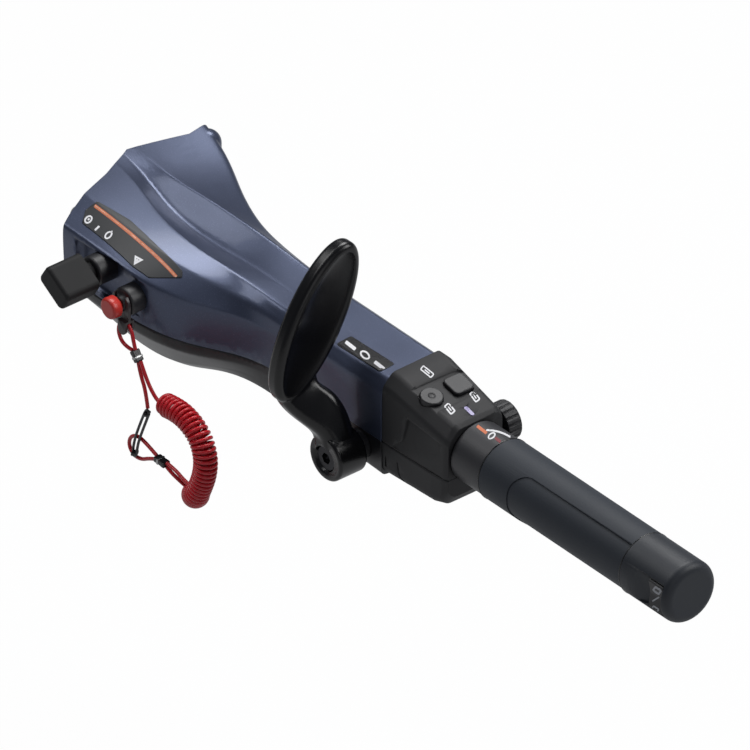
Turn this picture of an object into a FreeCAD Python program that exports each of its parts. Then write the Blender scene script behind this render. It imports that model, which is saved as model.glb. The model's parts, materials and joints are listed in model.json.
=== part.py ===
import FreeCAD, Part
import math
import os

# An outboard motor's tiller handle: a moulded housing on a cast arm, a shift lever, a front switch console,
# a twist grip with a thumb rocker, and key and stop switches with a coiled lanyard.
# Millimetres. The origin is the centre of the rear pivot bore. X runs along the twist grip, Y across, Z up.

V = FreeCAD.Vector
X_AXIS = V(1, 0, 0)
Y_AXIS = V(0, 1, 0)
Z_AXIS = V(0, 0, 1)

# Fits
GAP = 0.3
FIT = 0.05
PRESS = 0.02
SEAM_GAP = 0.3

# Rear pivot
PIVOT_BOLT = 12.0
PIVOT_BUSH_WALL = 2.0
PIVOT_FLANGE = 2.0
EYE_DIAMETER = 34.0
EYE_WIDTH = 44.0

# Places along X
NECK_START = 185.0
NECK_END = 292.0
CONSOLE_LENGTH = 60.0
COLLAR_LENGTH = 27.4
RUBBER_LENGTH = 135.0
GRIP_END_LENGTH = 44.5
CONSOLE_START = NECK_END + GAP
CONSOLE_FRONT = CONSOLE_START + CONSOLE_LENGTH
COLLAR_START = CONSOLE_FRONT + GAP
RUBBER_START = COLLAR_START + COLLAR_LENGTH
GRIP_END_START = RUBBER_START + RUBBER_LENGTH
GRIP_TIP = GRIP_END_START + GRIP_END_LENGTH

# Twist grip
AXIS_HEIGHT = 8.0
GRIP_DIAMETER = 42.0
COLLAR_DIAMETER = 41.0
TUBE_DIAMETER = 26.0
TUBE_BORE = 20.0
SLEEVE_DIAMETER = 32.0
SHAFT_DIAMETER = 10.0
DRUM_DIAMETER = 26.0
DRUM_WIDTH = 18.0
DRUM_START = 236.0
GRIP_END_ROUND = 6.0
GRIP_RADIUS = GRIP_DIAMETER / 2
SLEEVE_RADIUS = SLEEVE_DIAMETER / 2
TUBE_RADIUS = TUBE_DIAMETER / 2
SHAFT_RADIUS = SHAFT_DIAMETER / 2

# Housing
WALL = 3.0
SKIN = 0.5
NECK_HALF_WIDTH = 25.0
NECK_TOP = 37.5
NECK_CROWN = 3.0
NECK_BOTTOM = -32.0
POD_BOTTOM = -27.0
SEAM_HEIGHT = -6.0
BOSS_RADIUS = 9.0
BOSS_PLACE = (25.0, 55.0)
BOSS_HEIGHT = 46.5
CONSOLE_WALL = 2.5
CONSOLE_TOP_REAR = 42.0
CONSOLE_TOP_FRONT = 30.0
CONSOLE_BOTTOM_REAR = -31.0
CONSOLE_BOTTOM_FRONT = -20.0
CONSOLE_SLOPE = math.degrees(math.atan2(CONSOLE_TOP_REAR - CONSOLE_TOP_FRONT, CONSOLE_LENGTH - 8.0))

GROOVE_WIDTH = 1.3
GROOVE_DEPTH = 1.0
PANEL_LEAN = 3.6

# Cast arm
BEAM_TOP = -7.0
BEAM_BOTTOM = -21.0
BEAM_HALF_WIDTH = NECK_HALF_WIDTH - 11.0
BLOCK_START = CONSOLE_START + 4.0
BLOCK_LENGTH = 30.0
BLOCK_END = BLOCK_START + BLOCK_LENGTH
BLOCK_HALF_WIDTH = NECK_HALF_WIDTH - 8.0
BLOCK_TOP = 23.0
BLOCK_BOTTOM = -22.0
PEDESTAL_START = 258.0
PEDESTAL_LENGTH = 8.0
BUSH_WALL = 3.0
BUSH_LENGTH = 12.0
COVER_SCREW_PLACES = (120.0, 200.0)
COVER_SCREW_DIAMETER = 5.0

# Shift lever
LEVER_X = 272.0
LEVER_Z = -17.0
LEVER_BOSS_DIAMETER = 31.0
LEVER_BOSS_WIDTH = 22.0
LEVER_BOSS_OUTER = -54.0
LEVER_BOSS_INNER = LEVER_BOSS_OUTER + LEVER_BOSS_WIDTH
SHIFT_SHAFT_DIAMETER = 10.0
SHIFT_BUSH_DIAMETER = 14.0
LEVER_BOLT_HEAD = 16.0
LEVER_COUNTERBORE = 18.0
LEVER_BOLT_DIAMETER = 6.0
PADDLE_CENTRE = V(254, -48, 74)
PADDLE_LEAN = 29.7
PADDLE_HALF_LENGTH = 55.0
PADDLE_HALF_WIDTH = 22.5
PADDLE_THICKNESS = 12.0
# The web from the paddle down to the foot: centre, direction down, half width across, half depth along X
LEVER_WEB = (
    (V(251.8, -56, 57), V(0, -0.5, -0.87), 15.5, 3.2),
    (V(252.4, -62.5, 37), V(0.1, -0.2, -1), 16.5, 4.2),
    (V(256, -57.5, 22), V(0.3, 0.35, -1), 14.0, 6.6),
    (V(262, -47.8, 10), V(0.4, 0.75, -1), 13.2, 9.6),
    (V(267.5, -43.6, -5), V(0.3, 0.2, -1), 11.2, 12.2),
    (V(271.5, -43, -17), V(0, 0, -1), 10.5, 13.0),
)
CRANK_RADIUS = 20.0
CRANK_THICKNESS = 3.0
CRANK_PIN = 4.0
LINK_DIAMETER = 4.0
LINK_TAIL = 46.0
LINK_EYE = 3.2
LINK_GUIDES = (90.0, 170.0)

# Switches on the pod
POCKET_FLOOR = -68.0
KEY_X = 78.0
KEY_Z = 34.5
KEY_BEZEL_DIAMETER = 20.0
KEY_BEZEL_LENGTH = 14.0
KEY_BARREL_DIAMETER = 16.0
KEY_STEM_DIAMETER = 8.0
STOP_X = 106.0
STOP_Z = 25.0
STOP_COLLAR_DIAMETER = 19.0
STOP_COLLAR_LENGTH = 10.7
STOP_BARREL_DIAMETER = 14.0
STOP_NECK_DIAMETER = 10.0
STOP_STEM_DIAMETER = 6.0
NUT_THICKNESS = 4.0

# Speed buttons and friction knob
BUTTON_X = CONSOLE_START + 30.7
BUTTON_Y = 10.8
BUTTON_ROUND_DIAMETER = 15.0
BUTTON_SQUARE = 15.0
BUTTON_TRAVEL = 1.5
KNOB_X = CONSOLE_FRONT - 10.3
KNOB_Z = 11.0
KNOB_DIAMETER = 26.0
KNOB_WIDTH = 10.5
KNOB_SCREW_DIAMETER = 6.0

# Lanyard
CORD_DIAMETER = 2.5
COIL_DIAMETER = 16.0
LANYARD_Y = -80.4


def cylinder(radius, start, direction, length):
    """A solid cylinder from a start point along a direction."""
    return Part.makeCylinder(radius, length, start, direction)


def ring(outer, inner, start, direction, length):
    """A tube from a start point along a direction, by its radii."""
    return cylinder(outer, start, direction, length).cut(cylinder(inner, start, direction, length))


def box(x, y, z):
    """A box by its (low, high) pairs."""
    return Part.makeBox(x[1] - x[0], y[1] - y[0], z[1] - z[0], V(x[0], y[0], z[0]))


def prism(points, direction):
    """A flat outline of points, closed and pushed along a direction."""
    return Part.Face(Part.makePolygon(points + [points[0]])).extrude(direction)


def rounded_wire(corners):
    """A closed wire through (point, radius) corners, each corner an arc."""
    ends = []
    count = len(corners)
    for i in range(count):
        point, radius = corners[i]
        back = (corners[i - 1][0] - point).normalize()
        ahead = (corners[(i + 1) % count][0] - point).normalize()
        half = back.getAngle(ahead) / 2
        cut = max(radius / math.tan(half), 0.8)
        reach = cut * math.tan(half)
        middle = point + (back + ahead).normalize() * (reach / math.sin(half) - reach)
        ends.append((point + back * cut, middle, point + ahead * cut))
    edges = []
    for i in range(count):
        edges.append(Part.LineSegment(ends[i - 1][2], ends[i][0]).toShape())
        edges.append(Part.Arc(*ends[i]).toShape())
    return Part.Wire(edges)


def inset_corners(x, corners, inset):
    """Clockwise (y, z, radius) corners across X, moved inwards by inset, as (point, radius)."""
    count = len(corners)
    normals = []
    for i in range(count):
        here = corners[i]
        after = corners[(i + 1) % count]
        along = V(0, after[0] - here[0], after[1] - here[1]).normalize()
        normals.append(V(0, along.z, -along.y))
    moved = []
    for i in range(count):
        before = normals[i - 1]
        after = normals[i]
        shift = (before + after) * (inset / (1 + before.dot(after)))
        turns_out = before.y * after.z - before.z * after.y < 0
        radius = corners[i][2] - inset if turns_out else corners[i][2] + inset
        moved.append((V(x, corners[i][0], corners[i][1]) + shift, max(radius, 0.8)))
    return moved


def section(x, corners, inset=0.0):
    """A rounded outline across X from clockwise (y, z, radius) corners, moved inwards by inset."""
    return rounded_wire(inset_corners(x, corners, inset))


def housing_station(x, seam, crest, shoulder, keel_right, keel_left, under, pod_low, pod_top, ledge, scoop, valley):
    """One outline of the housing: its corners from the right crest, clockwise as seen from the grip end."""
    radii = (4, 8, 8, 8, 8, 8, 5, 12, 6, 12)
    points = (crest, shoulder, keel_right, keel_left, under, pod_low, pod_top, ledge, scoop, valley)
    return x, seam, [(y, z, radius) for (y, z), radius in zip(points, radii)]


def neck_station(share):
    """The neck's outline at a share of its length: its bottom runs down towards the console."""
    half = NECK_HALF_WIDTH
    bottom = POD_BOTTOM + (NECK_BOTTOM - POD_BOTTOM) * share
    return housing_station(
        NECK_START + (NECK_END - NECK_START) * share,
        SEAM_HEIGHT,
        (half - 7, NECK_TOP + NECK_CROWN),
        (half, NECK_TOP - 6 + NECK_CROWN),
        (half, bottom),
        (-half, bottom),
        (-half - 0.3, SEAM_HEIGHT - 14),
        (-half - 0.5, SEAM_HEIGHT - 5.5),
        (-half - 0.4, 20),
        (-half, NECK_TOP - 8),
        (-half + 6, NECK_TOP),
        (-3, NECK_TOP - 0.2),
    )


# The housing from its rear to the end of the neck: the pod bulges left and the flank flares right.
HOUSING = (
    housing_station(6, 14, (7, 59), (65, 59), (54, -26), (-40, -28), (-56, -13), (-75, 4), (-77, 49.5), (-52, 59.5),
                    (-14, 59), (-4, 58.8)),
    housing_station(31, 13.5, (4.5, 57.5), (61, 55), (52, -29), (-39, -33), (-55.5, -13.5), (-74.5, 5), (-77, 49),
                    (-52, 59), (-15, 57.8), (-5, 57.3)),
    housing_station(52, 13, (4.5, 54.5), (55, 47), (49, -33), (-38, -37), (-55, -14), (-74, 6), (-77, 48.5),
                    (-52, 57), (-19, 55.5), (-7, 46)),
    housing_station(80, 10.5, (9.5, 52), (40.5, 43), (37, -40), (-35, -44), (-51, -27), (-73, 3), (-75.5, 47),
                    (-50, 53), (-27, 52.5), (-8, 38.5)),
    housing_station(112, 6, (13.5, 48.5), (28.5, 40.5), (26, -38), (-31, -41), (-45, -32), (-68, -3), (-72, 40.5),
                    (-47, 47.5), (-27, 48), (-6, 37)),
    housing_station(136, -1.5, (16.5, 45), (26, 38), (NECK_HALF_WIDTH, -31), (-27, -32), (-36, -25), (-53, -10),
                    (-57, 31), (-40, 40.5), (-22, 43.5), (-3.5, 37.5)),
    housing_station(160, SEAM_HEIGHT, (18.5, 42), (NECK_HALF_WIDTH, 35.5), (NECK_HALF_WIDTH, -27),
                    (-NECK_HALF_WIDTH, -28), (-27.5, -20), (-31, -11.5), (-31.5, 23), (-27, 33), (-19.5, 39.5),
                    (-3, 38)),
    neck_station(0.0),
    neck_station(0.33),
    neck_station(0.67),
    neck_station(1.0),
)
# Which corners each cover goes round, between its two seams
UPPER_CORNERS = (6, 7, 8, 9, 0, 1)
LOWER_CORNERS = (2, 3, 4, 5)


def at_height(low, high, z):
    """The point on a line at a height."""
    return low + (high - low) * ((z - low.z) / (high.z - low.z))


def wall_poles(corners, group, seam):
    """Control points round a group of corners, from seam to seam, with three at each corner."""
    count = len(corners)
    first = at_height(corners[group[0] - 1][0], corners[group[0]][0], seam)
    last = at_height(corners[group[-1]][0], corners[(group[-1] + 1) % count][0], seam)
    path = [first] + [corners[i][0] for i in group] + [last]
    poles = [first]
    for place, i in enumerate(group):
        point = corners[i][0]
        back = path[place] - point
        ahead = path[place + 2] - point
        reaches = (0.45 * back.Length, 0.45 * ahead.Length)
        back.normalize()
        ahead.normalize()
        cut = max(1.2 * corners[i][1] / math.tan(back.getAngle(ahead) / 2), 1.2)
        poles += [point + back * min(cut, reaches[0]), point, point + ahead * min(cut, reaches[1])]
    return poles + [last]


def spaced_knots(rows):
    """Knots and multiplicities of a cubic curve whose control points are spaced like the rows'."""
    count = len(rows[0])
    shares = [0.0] * count
    for row in rows:
        steps = [0.0]
        for here, after in zip(row, row[1:]):
            steps.append(steps[-1] + (after - here).Length)
        shares = [share + step / steps[-1] / len(rows) for share, step in zip(shares, steps)]
    inner = [sum(shares[j:j + 3]) / 3 for j in range(1, count - 3)]
    return [0.0] + inner + [1.0], [4] + [1] * len(inner) + [4]


def flow_edge(row, knots):
    """A cubic edge along control points."""
    curve = Part.BSplineCurve()
    curve.buildFromPolesMultsKnots(row, knots[1], knots[0], False, 3)
    return curve.toShape()


def flow_face(rows, along, across):
    """A cubic face over rows of control points."""
    surface = Part.BSplineSurface()
    surface.buildFromPolesMultsKnots(rows, along[1], across[1], along[0], across[0], False, False, 3, 3)
    return surface.toShape()


def sewn_solid(faces):
    """A solid from faces that close."""
    shell = Part.Shell(faces)
    shell.sewShape()
    solid = Part.Solid(shell)
    if solid.Volume < 0:
        solid.reverse()
    return solid


def housing_rows(group, inset, shift):
    """Rows of control points for one cover's side of the housing."""
    return [wall_poles(inset_corners(x, corners, inset), group, seam + shift) for x, seam, corners in HOUSING]


def along_knots():
    """Knots along the housing, from its stations' places."""
    return spaced_knots([[V(station[0], 0, 0) for station in HOUSING]])


def cover_wall(group, shift):
    """One cover's wall: an outer and an inner face, joined at both seams and both ends."""
    outer = housing_rows(group, 0.0, shift)
    inner = housing_rows(group, WALL, shift)
    along = along_knots()
    across = spaced_knots(outer + inner)
    faces = [flow_face(outer, along, across), flow_face(inner, along, across)]
    for side in (0, -1):
        edges = [flow_edge([row[side] for row in rows], along) for rows in (outer, inner)]
        faces.append(Part.makeRuledSurface(*edges))
    for end in (0, -1):
        edges = [flow_edge(rows[end], across) for rows in (outer, inner)]
        edges += [Part.LineSegment(outer[end][side], inner[end][side]).toShape() for side in (0, -1)]
        faces.append(Part.Face(Part.Wire(Part.__sortEdges__(edges))))
    return sewn_solid(faces)


def housing_solid(inset=0.0):
    """The housing's whole body, moved inwards by inset."""
    along = along_knots()
    faces = []
    ends = ([], [])
    for group in (UPPER_CORNERS, LOWER_CORNERS):
        rows = housing_rows(group, inset, 0.0)
        across = spaced_knots(rows)
        faces.append(flow_face(rows, along, across))
        ends[0].append(flow_edge(rows[0], across))
        ends[1].append(flow_edge(rows[-1], across))
    faces += [Part.Face(Part.Wire(Part.__sortEdges__(edges))) for edges in ends]
    return sewn_solid(faces)


def rear_cutter():
    """What lies behind the housing's rear edge, seen from above."""
    edge = [V(46, -84, 0), V(44, -77, 0), V(40, -68, 0), V(35, -52, 0), V(26, -27, 0), V(13, 0, 0), V(22, 43, 0),
            V(18, 66, 0)]
    outline = edge + [V(18, 90, 0), V(-60, 90, 0), V(-60, -84, 0)]
    return prism([point + V(0, 0, -80) for point in outline], V(0, 0, 200))


def pocket(grow, floor):
    """The switch pocket in the pod's side, grown all round, down to a floor."""
    points = [
        V(56 - grow, floor, 16.4 - grow),
        V(56 - grow, floor, 45.2 + grow),
        V(90, floor, 44.6 + grow),
        V(112, floor, 37.5 + grow),
        V(121 + grow, floor, 30),
        V(121 + grow, floor, 9.5 - grow),
        V(100, floor, 12 - grow),
    ]
    return prism(points, V(0, -40, 0))


def cover_post(x):
    """A post from the upper cover's roof to just above the beam."""
    post = cylinder(6.0, V(x, 0, BEAM_TOP + GAP), Z_AXIS, 60)
    return post.common(housing_solid(WALL / 2))


def make_upper_cover():
    """The painted cover: roof, pod with its switch pocket, and flank, with posts and the rear boss."""
    cover = cover_wall(UPPER_CORNERS, SEAM_GAP / 2)
    lining = housing_solid(GAP).common(pocket(WALL, POCKET_FLOOR + WALL))
    cover = cover.fuse(lining).cut(pocket(0, POCKET_FLOOR))
    for x in COVER_SCREW_PLACES:
        cover = cover.fuse(cover_post(x))
        cover = cover.cut(cylinder(COVER_SCREW_DIAMETER / 2 + FIT, V(x, 0, BEAM_TOP - 1), Z_AXIS, 22))
    boss = cylinder(BOSS_RADIUS, V(*BOSS_PLACE, BOSS_HEIGHT - 12), Z_AXIS, 12)
    boss = boss.fuse(Part.makeSphere(BOSS_RADIUS, V(*BOSS_PLACE, BOSS_HEIGHT)))
    cover = cover.fuse(boss.cut(housing_solid(WALL)))
    cover = cover.cut([
        rear_cutter(),
        bore_at(KEY_X, -90, KEY_Z, KEY_BARREL_DIAMETER / 2 + FIT, 40),
        bore_at(STOP_X, -90, STOP_Z, STOP_BARREL_DIAMETER / 2 + FIT, 40),
    ])
    return cover


def make_lower_cover():
    """The black cover under the seam, with the shift shaft's hole and the screw holes."""
    cutters = [rear_cutter(), bore_at(LEVER_X, -60, LEVER_Z, SHIFT_BUSH_DIAMETER / 2 + FIT, 50)]
    for x in COVER_SCREW_PLACES:
        cutters.append(cylinder(COVER_SCREW_DIAMETER / 2 + FIT, V(x, 0, -60), Z_AXIS, 50))
    return cover_wall(LOWER_CORNERS, -SEAM_GAP / 2).cut(cutters)


def make_cover_screws():
    """Two long screws from under the lower cover, through the beam, into the upper cover's posts."""
    screws = []
    floor = housing_solid()
    for x in COVER_SCREW_PLACES:
        probe = cylinder(5.0, V(x, 0, -60), Z_AXIS, 40).common(floor)
        seat = probe.BoundBox.ZMin
        shank = cylinder(COVER_SCREW_DIAMETER / 2, V(x, 0, seat), Z_AXIS, BEAM_TOP + 18 - seat)
        head = cylinder(4.6, V(x, 0, seat - 2.6), Z_AXIS, 2.6)
        screws.append(head.fuse(shank).removeSplitter())
    return Part.makeCompound(screws)


def bore_at(x, y, z, radius, depth=400.0):
    """A long cutter across Y."""
    return cylinder(radius, V(x, y, z), Y_AXIS, depth)


def make_arm():
    """The cast arm: pivot eye, ribbed beam, shift boss, shaft pedestal and front block."""
    outline = [V(0, 0, -14), V(45, 0, BEAM_BOTTOM), V(BLOCK_END, 0, BEAM_BOTTOM), V(BLOCK_END, 0, BEAM_TOP),
               V(70, 0, BEAM_TOP), V(0, 0, 15)]
    outline = [point - V(0, BEAM_HALF_WIDTH, 0) for point in outline]
    arm = prism(outline, V(0, 2 * BEAM_HALF_WIDTH, 0))
    for side in (-1, 1):
        for step in range(4):
            low = 130 + step * 30
            face = side * BEAM_HALF_WIDTH
            inner = side * (BEAM_HALF_WIDTH - 8)
            arm = arm.cut(box((low, low + 24), sorted((face, inner)), (BEAM_BOTTOM + 4, BEAM_TOP - 4)))
    arm = arm.fuse(cylinder(EYE_DIAMETER / 2, V(0, -EYE_WIDTH / 2, 0), Y_AXIS, EYE_WIDTH))
    boss_start = -NECK_HALF_WIDTH + WALL + GAP
    arm = arm.fuse(cylinder(10, V(LEVER_X, boss_start, LEVER_Z), Y_AXIS, BEAM_HALF_WIDTH - boss_start))
    arm = arm.fuse(box((PEDESTAL_START, PEDESTAL_START + PEDESTAL_LENGTH), (-10, 10), (BEAM_TOP - 1, 19)))
    arm = arm.fuse(box((BLOCK_START, BLOCK_END), (-BLOCK_HALF_WIDTH, BLOCK_HALF_WIDTH), (BLOCK_BOTTOM, BLOCK_TOP)))
    for x in LINK_GUIDES:
        arm = arm.fuse(box((x - 4, x + 4), (10, NECK_HALF_WIDTH - WALL - GAP), (-16, LINK_Z + 4)))
    pads = None
    for x in COVER_SCREW_PLACES:
        pad = cylinder(8, V(x, 0, -60), Z_AXIS, 60 + BEAM_TOP)
        pads = pad if pads is None else pads.fuse(pad)
    arm = arm.fuse(pads.common(housing_solid(WALL + GAP)))
    cutters = [
        bore_at(0, -200, 0, PIVOT_BOLT / 2 + PIVOT_BUSH_WALL + PRESS),
        bore_at(LEVER_X, -200, LEVER_Z, SHIFT_BUSH_DIAMETER / 2 + PRESS),
        cylinder(SHAFT_RADIUS + BUSH_WALL + PRESS, V(PEDESTAL_START - 1, 0, AXIS_HEIGHT), X_AXIS, 12),
        cylinder(SHAFT_RADIUS + BUSH_WALL + PRESS, V(BLOCK_START - 1, 0, AXIS_HEIGHT), X_AXIS, BUSH_LENGTH + 1),
        cylinder(TUBE_RADIUS + PRESS, V(BLOCK_START + BUSH_LENGTH, 0, AXIS_HEIGHT), X_AXIS, BLOCK_LENGTH),
    ]
    cutters += [cylinder(LINK_DIAMETER / 2 + FIT, V(x - 10, LINK_Y, LINK_Z), X_AXIS, 20) for x in LINK_GUIDES]
    cutters += [cylinder(COVER_SCREW_DIAMETER / 2 + FIT, V(x, 0, -60), Z_AXIS, 80) for x in COVER_SCREW_PLACES]
    cutters += [cylinder(2 + FIT, V(x, y, BLOCK_BOTTOM - 1), Z_AXIS, 14) for x, y in CONSOLE_SCREW_PLACES]
    return arm.cut(cutters).removeSplitter()


def make_pivot_bushes():
    """Two flanged bushes pressed into the pivot eye from both sides."""
    inner = PIVOT_BOLT / 2
    outer = inner + PIVOT_BUSH_WALL
    bushes = []
    for side in (-1, 1):
        face = V(0, side * EYE_WIDTH / 2, 0)
        inward = Y_AXIS * -side
        sleeve = ring(outer, inner, face, inward, (EYE_WIDTH - GAP) / 2)
        flange = ring(outer + 4, inner, face, inward * -1, PIVOT_FLANGE)
        bushes.append(sleeve.fuse(flange).removeSplitter())
    return Part.makeCompound(bushes)


def make_shaft_bushes():
    """The throttle shaft's three bushes: pedestal, front block and tube end."""
    inner = SHAFT_RADIUS + FIT
    outer = SHAFT_RADIUS + BUSH_WALL
    tip = GRIP_END_START - 18
    return Part.makeCompound([
        ring(outer, inner, V(PEDESTAL_START, 0, AXIS_HEIGHT), X_AXIS, PEDESTAL_LENGTH),
        ring(outer, inner, V(BLOCK_START, 0, AXIS_HEIGHT), X_AXIS, BUSH_LENGTH),
        ring(TUBE_BORE / 2 - PRESS, inner, V(tip, 0, AXIS_HEIGHT), X_AXIS, 16),
    ])


def make_tube():
    """The fixed tube that the grip turns on."""
    start = BLOCK_START + BUSH_LENGTH + PRESS
    return ring(TUBE_RADIUS, TUBE_BORE / 2, V(start, 0, AXIS_HEIGHT), X_AXIS, GRIP_END_START + 4 - start)


def make_shaft():
    """The throttle shaft, from behind the drum into the grip's end."""
    start = DRUM_START - 8
    shaft = cylinder(SHAFT_RADIUS, V(start, 0, AXIS_HEIGHT), X_AXIS, GRIP_TIP - 20 - start)
    flat = box((GRIP_TIP - 34, GRIP_TIP), (-10, 10), (AXIS_HEIGHT + SHAFT_RADIUS - 1, AXIS_HEIGHT + 20))
    return shaft.cut(flat)


def make_drum():
    """The cable drum: a grooved wheel with a hub on the throttle shaft."""
    radius = DRUM_DIAMETER / 2
    bore = SHAFT_RADIUS + PRESS
    profile = [
        V(DRUM_START, 0, bore),
        V(DRUM_START, 0, radius),
        V(DRUM_START + 3, 0, radius),
        V(DRUM_START + 4.5, 0, radius - 3),
        V(DRUM_START + 7.5, 0, radius - 3),
        V(DRUM_START + 9, 0, radius),
        V(DRUM_START + 12, 0, radius),
        V(DRUM_START + 12, 0, SHAFT_RADIUS + 4),
        V(DRUM_START + DRUM_WIDTH, 0, SHAFT_RADIUS + 4),
        V(DRUM_START + DRUM_WIDTH, 0, bore),
    ]
    face = Part.Face(Part.makePolygon(profile + [profile[0]]))
    drum = face.revolve(V(0, 0, 0), X_AXIS, 360)
    drum.translate(V(0, 0, AXIS_HEIGHT))
    return drum


def make_sleeve():
    """The inner sleeve that the collar, rubber and grip end turn with."""
    start = BLOCK_END + 2
    return ring(SLEEVE_RADIUS, TUBE_RADIUS + FIT, V(start, 0, AXIS_HEIGHT), X_AXIS, GRIP_END_START - start)


def make_collar():
    """The throttle collar: a short drum with a softened front edge."""
    radius = COLLAR_DIAMETER / 2
    collar = cylinder(radius, V(COLLAR_START, 0, AXIS_HEIGHT), X_AXIS, COLLAR_LENGTH)
    collar = collar.makeFillet(1.2, [edge for edge in collar.Edges if is_ring(edge, COLLAR_START)])
    return collar.cut(cylinder(SLEEVE_RADIUS + PRESS, V(COLLAR_START - 1, 0, AXIS_HEIGHT), X_AXIS, 60))


def is_ring(edge, x):
    """Whether an edge is a full circle across X at a place."""
    return edge.isClosed() and abs(edge.CenterOfMass.x - x) < 0.01


def make_rubber():
    """The rubber grip with a shallow panel let into its left side."""
    start = V(RUBBER_START, 0, AXIS_HEIGHT)
    grip = cylinder(GRIP_RADIUS, start, X_AXIS, RUBBER_LENGTH)
    grip = grip.makeFillet(1.0, [edge for edge in grip.Edges if is_ring(edge, RUBBER_START)])
    panel_start = RUBBER_START + 27
    corners = [
        (V(panel_start, -40, AXIS_HEIGHT + 18), 12.0),
        (V(GRIP_TIP, -40, AXIS_HEIGHT + 18), 1.0),
        (V(GRIP_TIP, -40, AXIS_HEIGHT - 18), 1.0),
        (V(panel_start, -40, AXIS_HEIGHT - 18), 12.0),
    ]
    window = Part.Face(rounded_wire(corners)).extrude(V(0, 40, 0))
    band = ring(GRIP_RADIUS + 1, GRIP_RADIUS - 0.6, V(RUBBER_START, 0, AXIS_HEIGHT), X_AXIS, RUBBER_LENGTH)
    grip = grip.cut(band.common(window))
    return grip.cut(cylinder(SLEEVE_RADIUS + PRESS, start - X_AXIS, X_AXIS, RUBBER_LENGTH + 2))


def make_grip_end():
    """The grip's hard end: a thumb recess on its left side and the rocker's pocket."""
    start = V(GRIP_END_START, 0, AXIS_HEIGHT)
    end = cylinder(GRIP_RADIUS, start, X_AXIS, GRIP_END_LENGTH)
    end = end.makeFillet(GRIP_END_ROUND, [edge for edge in end.Edges if is_ring(edge, GRIP_TIP)])
    slope = [
        V(GRIP_END_START + 5, -GRIP_RADIUS - 1, AXIS_HEIGHT - 10.5),
        V(ROCKER_START - 2, -GRIP_RADIUS + 6, AXIS_HEIGHT - 10.5),
        V(ROCKER_END + 0.5, -GRIP_RADIUS + 6, AXIS_HEIGHT - 10.5),
        V(ROCKER_END + 0.5, -GRIP_RADIUS - 4, AXIS_HEIGHT - 10.5),
        V(GRIP_END_START + 5, -GRIP_RADIUS - 4, AXIS_HEIGHT - 10.5),
    ]
    recess = prism(slope, V(0, 0, 21))
    well = box((ROCKER_START - 0.4, ROCKER_END + 0.4), (-40, -9.5), (AXIS_HEIGHT - 11, AXIS_HEIGHT + 11))
    end = end.cut([
        recess,
        well,
        cylinder(TUBE_RADIUS + 1, start - X_AXIS, X_AXIS, 6),
        cylinder(SHAFT_RADIUS + PRESS, start - X_AXIS, X_AXIS, GRIP_END_LENGTH - 19),
        rocker_pin_cutter(0.0),
    ])
    return end.removeSplitter()


def rocker_pin_cutter(extra):
    """The rocker's pin, or its hole with some extra radius."""
    start = V(ROCKER_START - 3, ROCKER_PIVOT_Y, AXIS_HEIGHT)
    return cylinder(ROCKER_PIN / 2 + extra, start, X_AXIS, ROCKER_END - ROCKER_START + 5.5)


def make_rocker():
    """The thumb rocker: two tilted pads on a shallow V back."""
    top = -GRIP_RADIUS + 2.4
    z = AXIS_HEIGHT
    corners = [
        (V(ROCKER_START, top - 0.6, z + 10), 1.2),
        (V(ROCKER_START, top + 1.2, z), 6.0),
        (V(ROCKER_START, top - 0.6, z - 10), 1.2),
        (V(ROCKER_START, top + 3.0, z - 10.4), 0.8),
        (V(ROCKER_START, ROCKER_PIVOT_Y + 2.6, z), 2.6),
        (V(ROCKER_START, top + 3.0, z + 10.4), 0.8),
    ]
    body = Part.Face(rounded_wire(corners)).extrude(V(ROCKER_END - ROCKER_START, 0, 0))
    return body.cut(rocker_pin_cutter(FIT))


def oriented(shape, origin, across, up, out):
    """A shape built about the origin, turned to three axes and moved to a place."""
    matrix = FreeCAD.Matrix(
        across.x, up.x, out.x, origin.x,
        across.y, up.y, out.y, origin.y,
        across.z, up.z, out.z, origin.z,
        0, 0, 0, 1,
    )
    moved = shape.copy()
    moved.Placement = FreeCAD.Placement(matrix)
    return moved


def web_section(centre, travel, half_across, half_deep):
    """A rounded oblong across a direction of travel, its short side along X."""
    out = travel.normalize()
    across = X_AXIS.cross(out).normalize()
    up = out.cross(across)
    radius = half_deep * 0.75
    corners = [(V(half_across, half_deep, 0), radius), (V(half_across, -half_deep, 0), radius),
               (V(-half_across, -half_deep, 0), radius), (V(-half_across, half_deep, 0), radius)]
    return Part.Wire([oriented(edge, centre, across, up, out) for edge in rounded_wire(corners).Edges])


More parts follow.
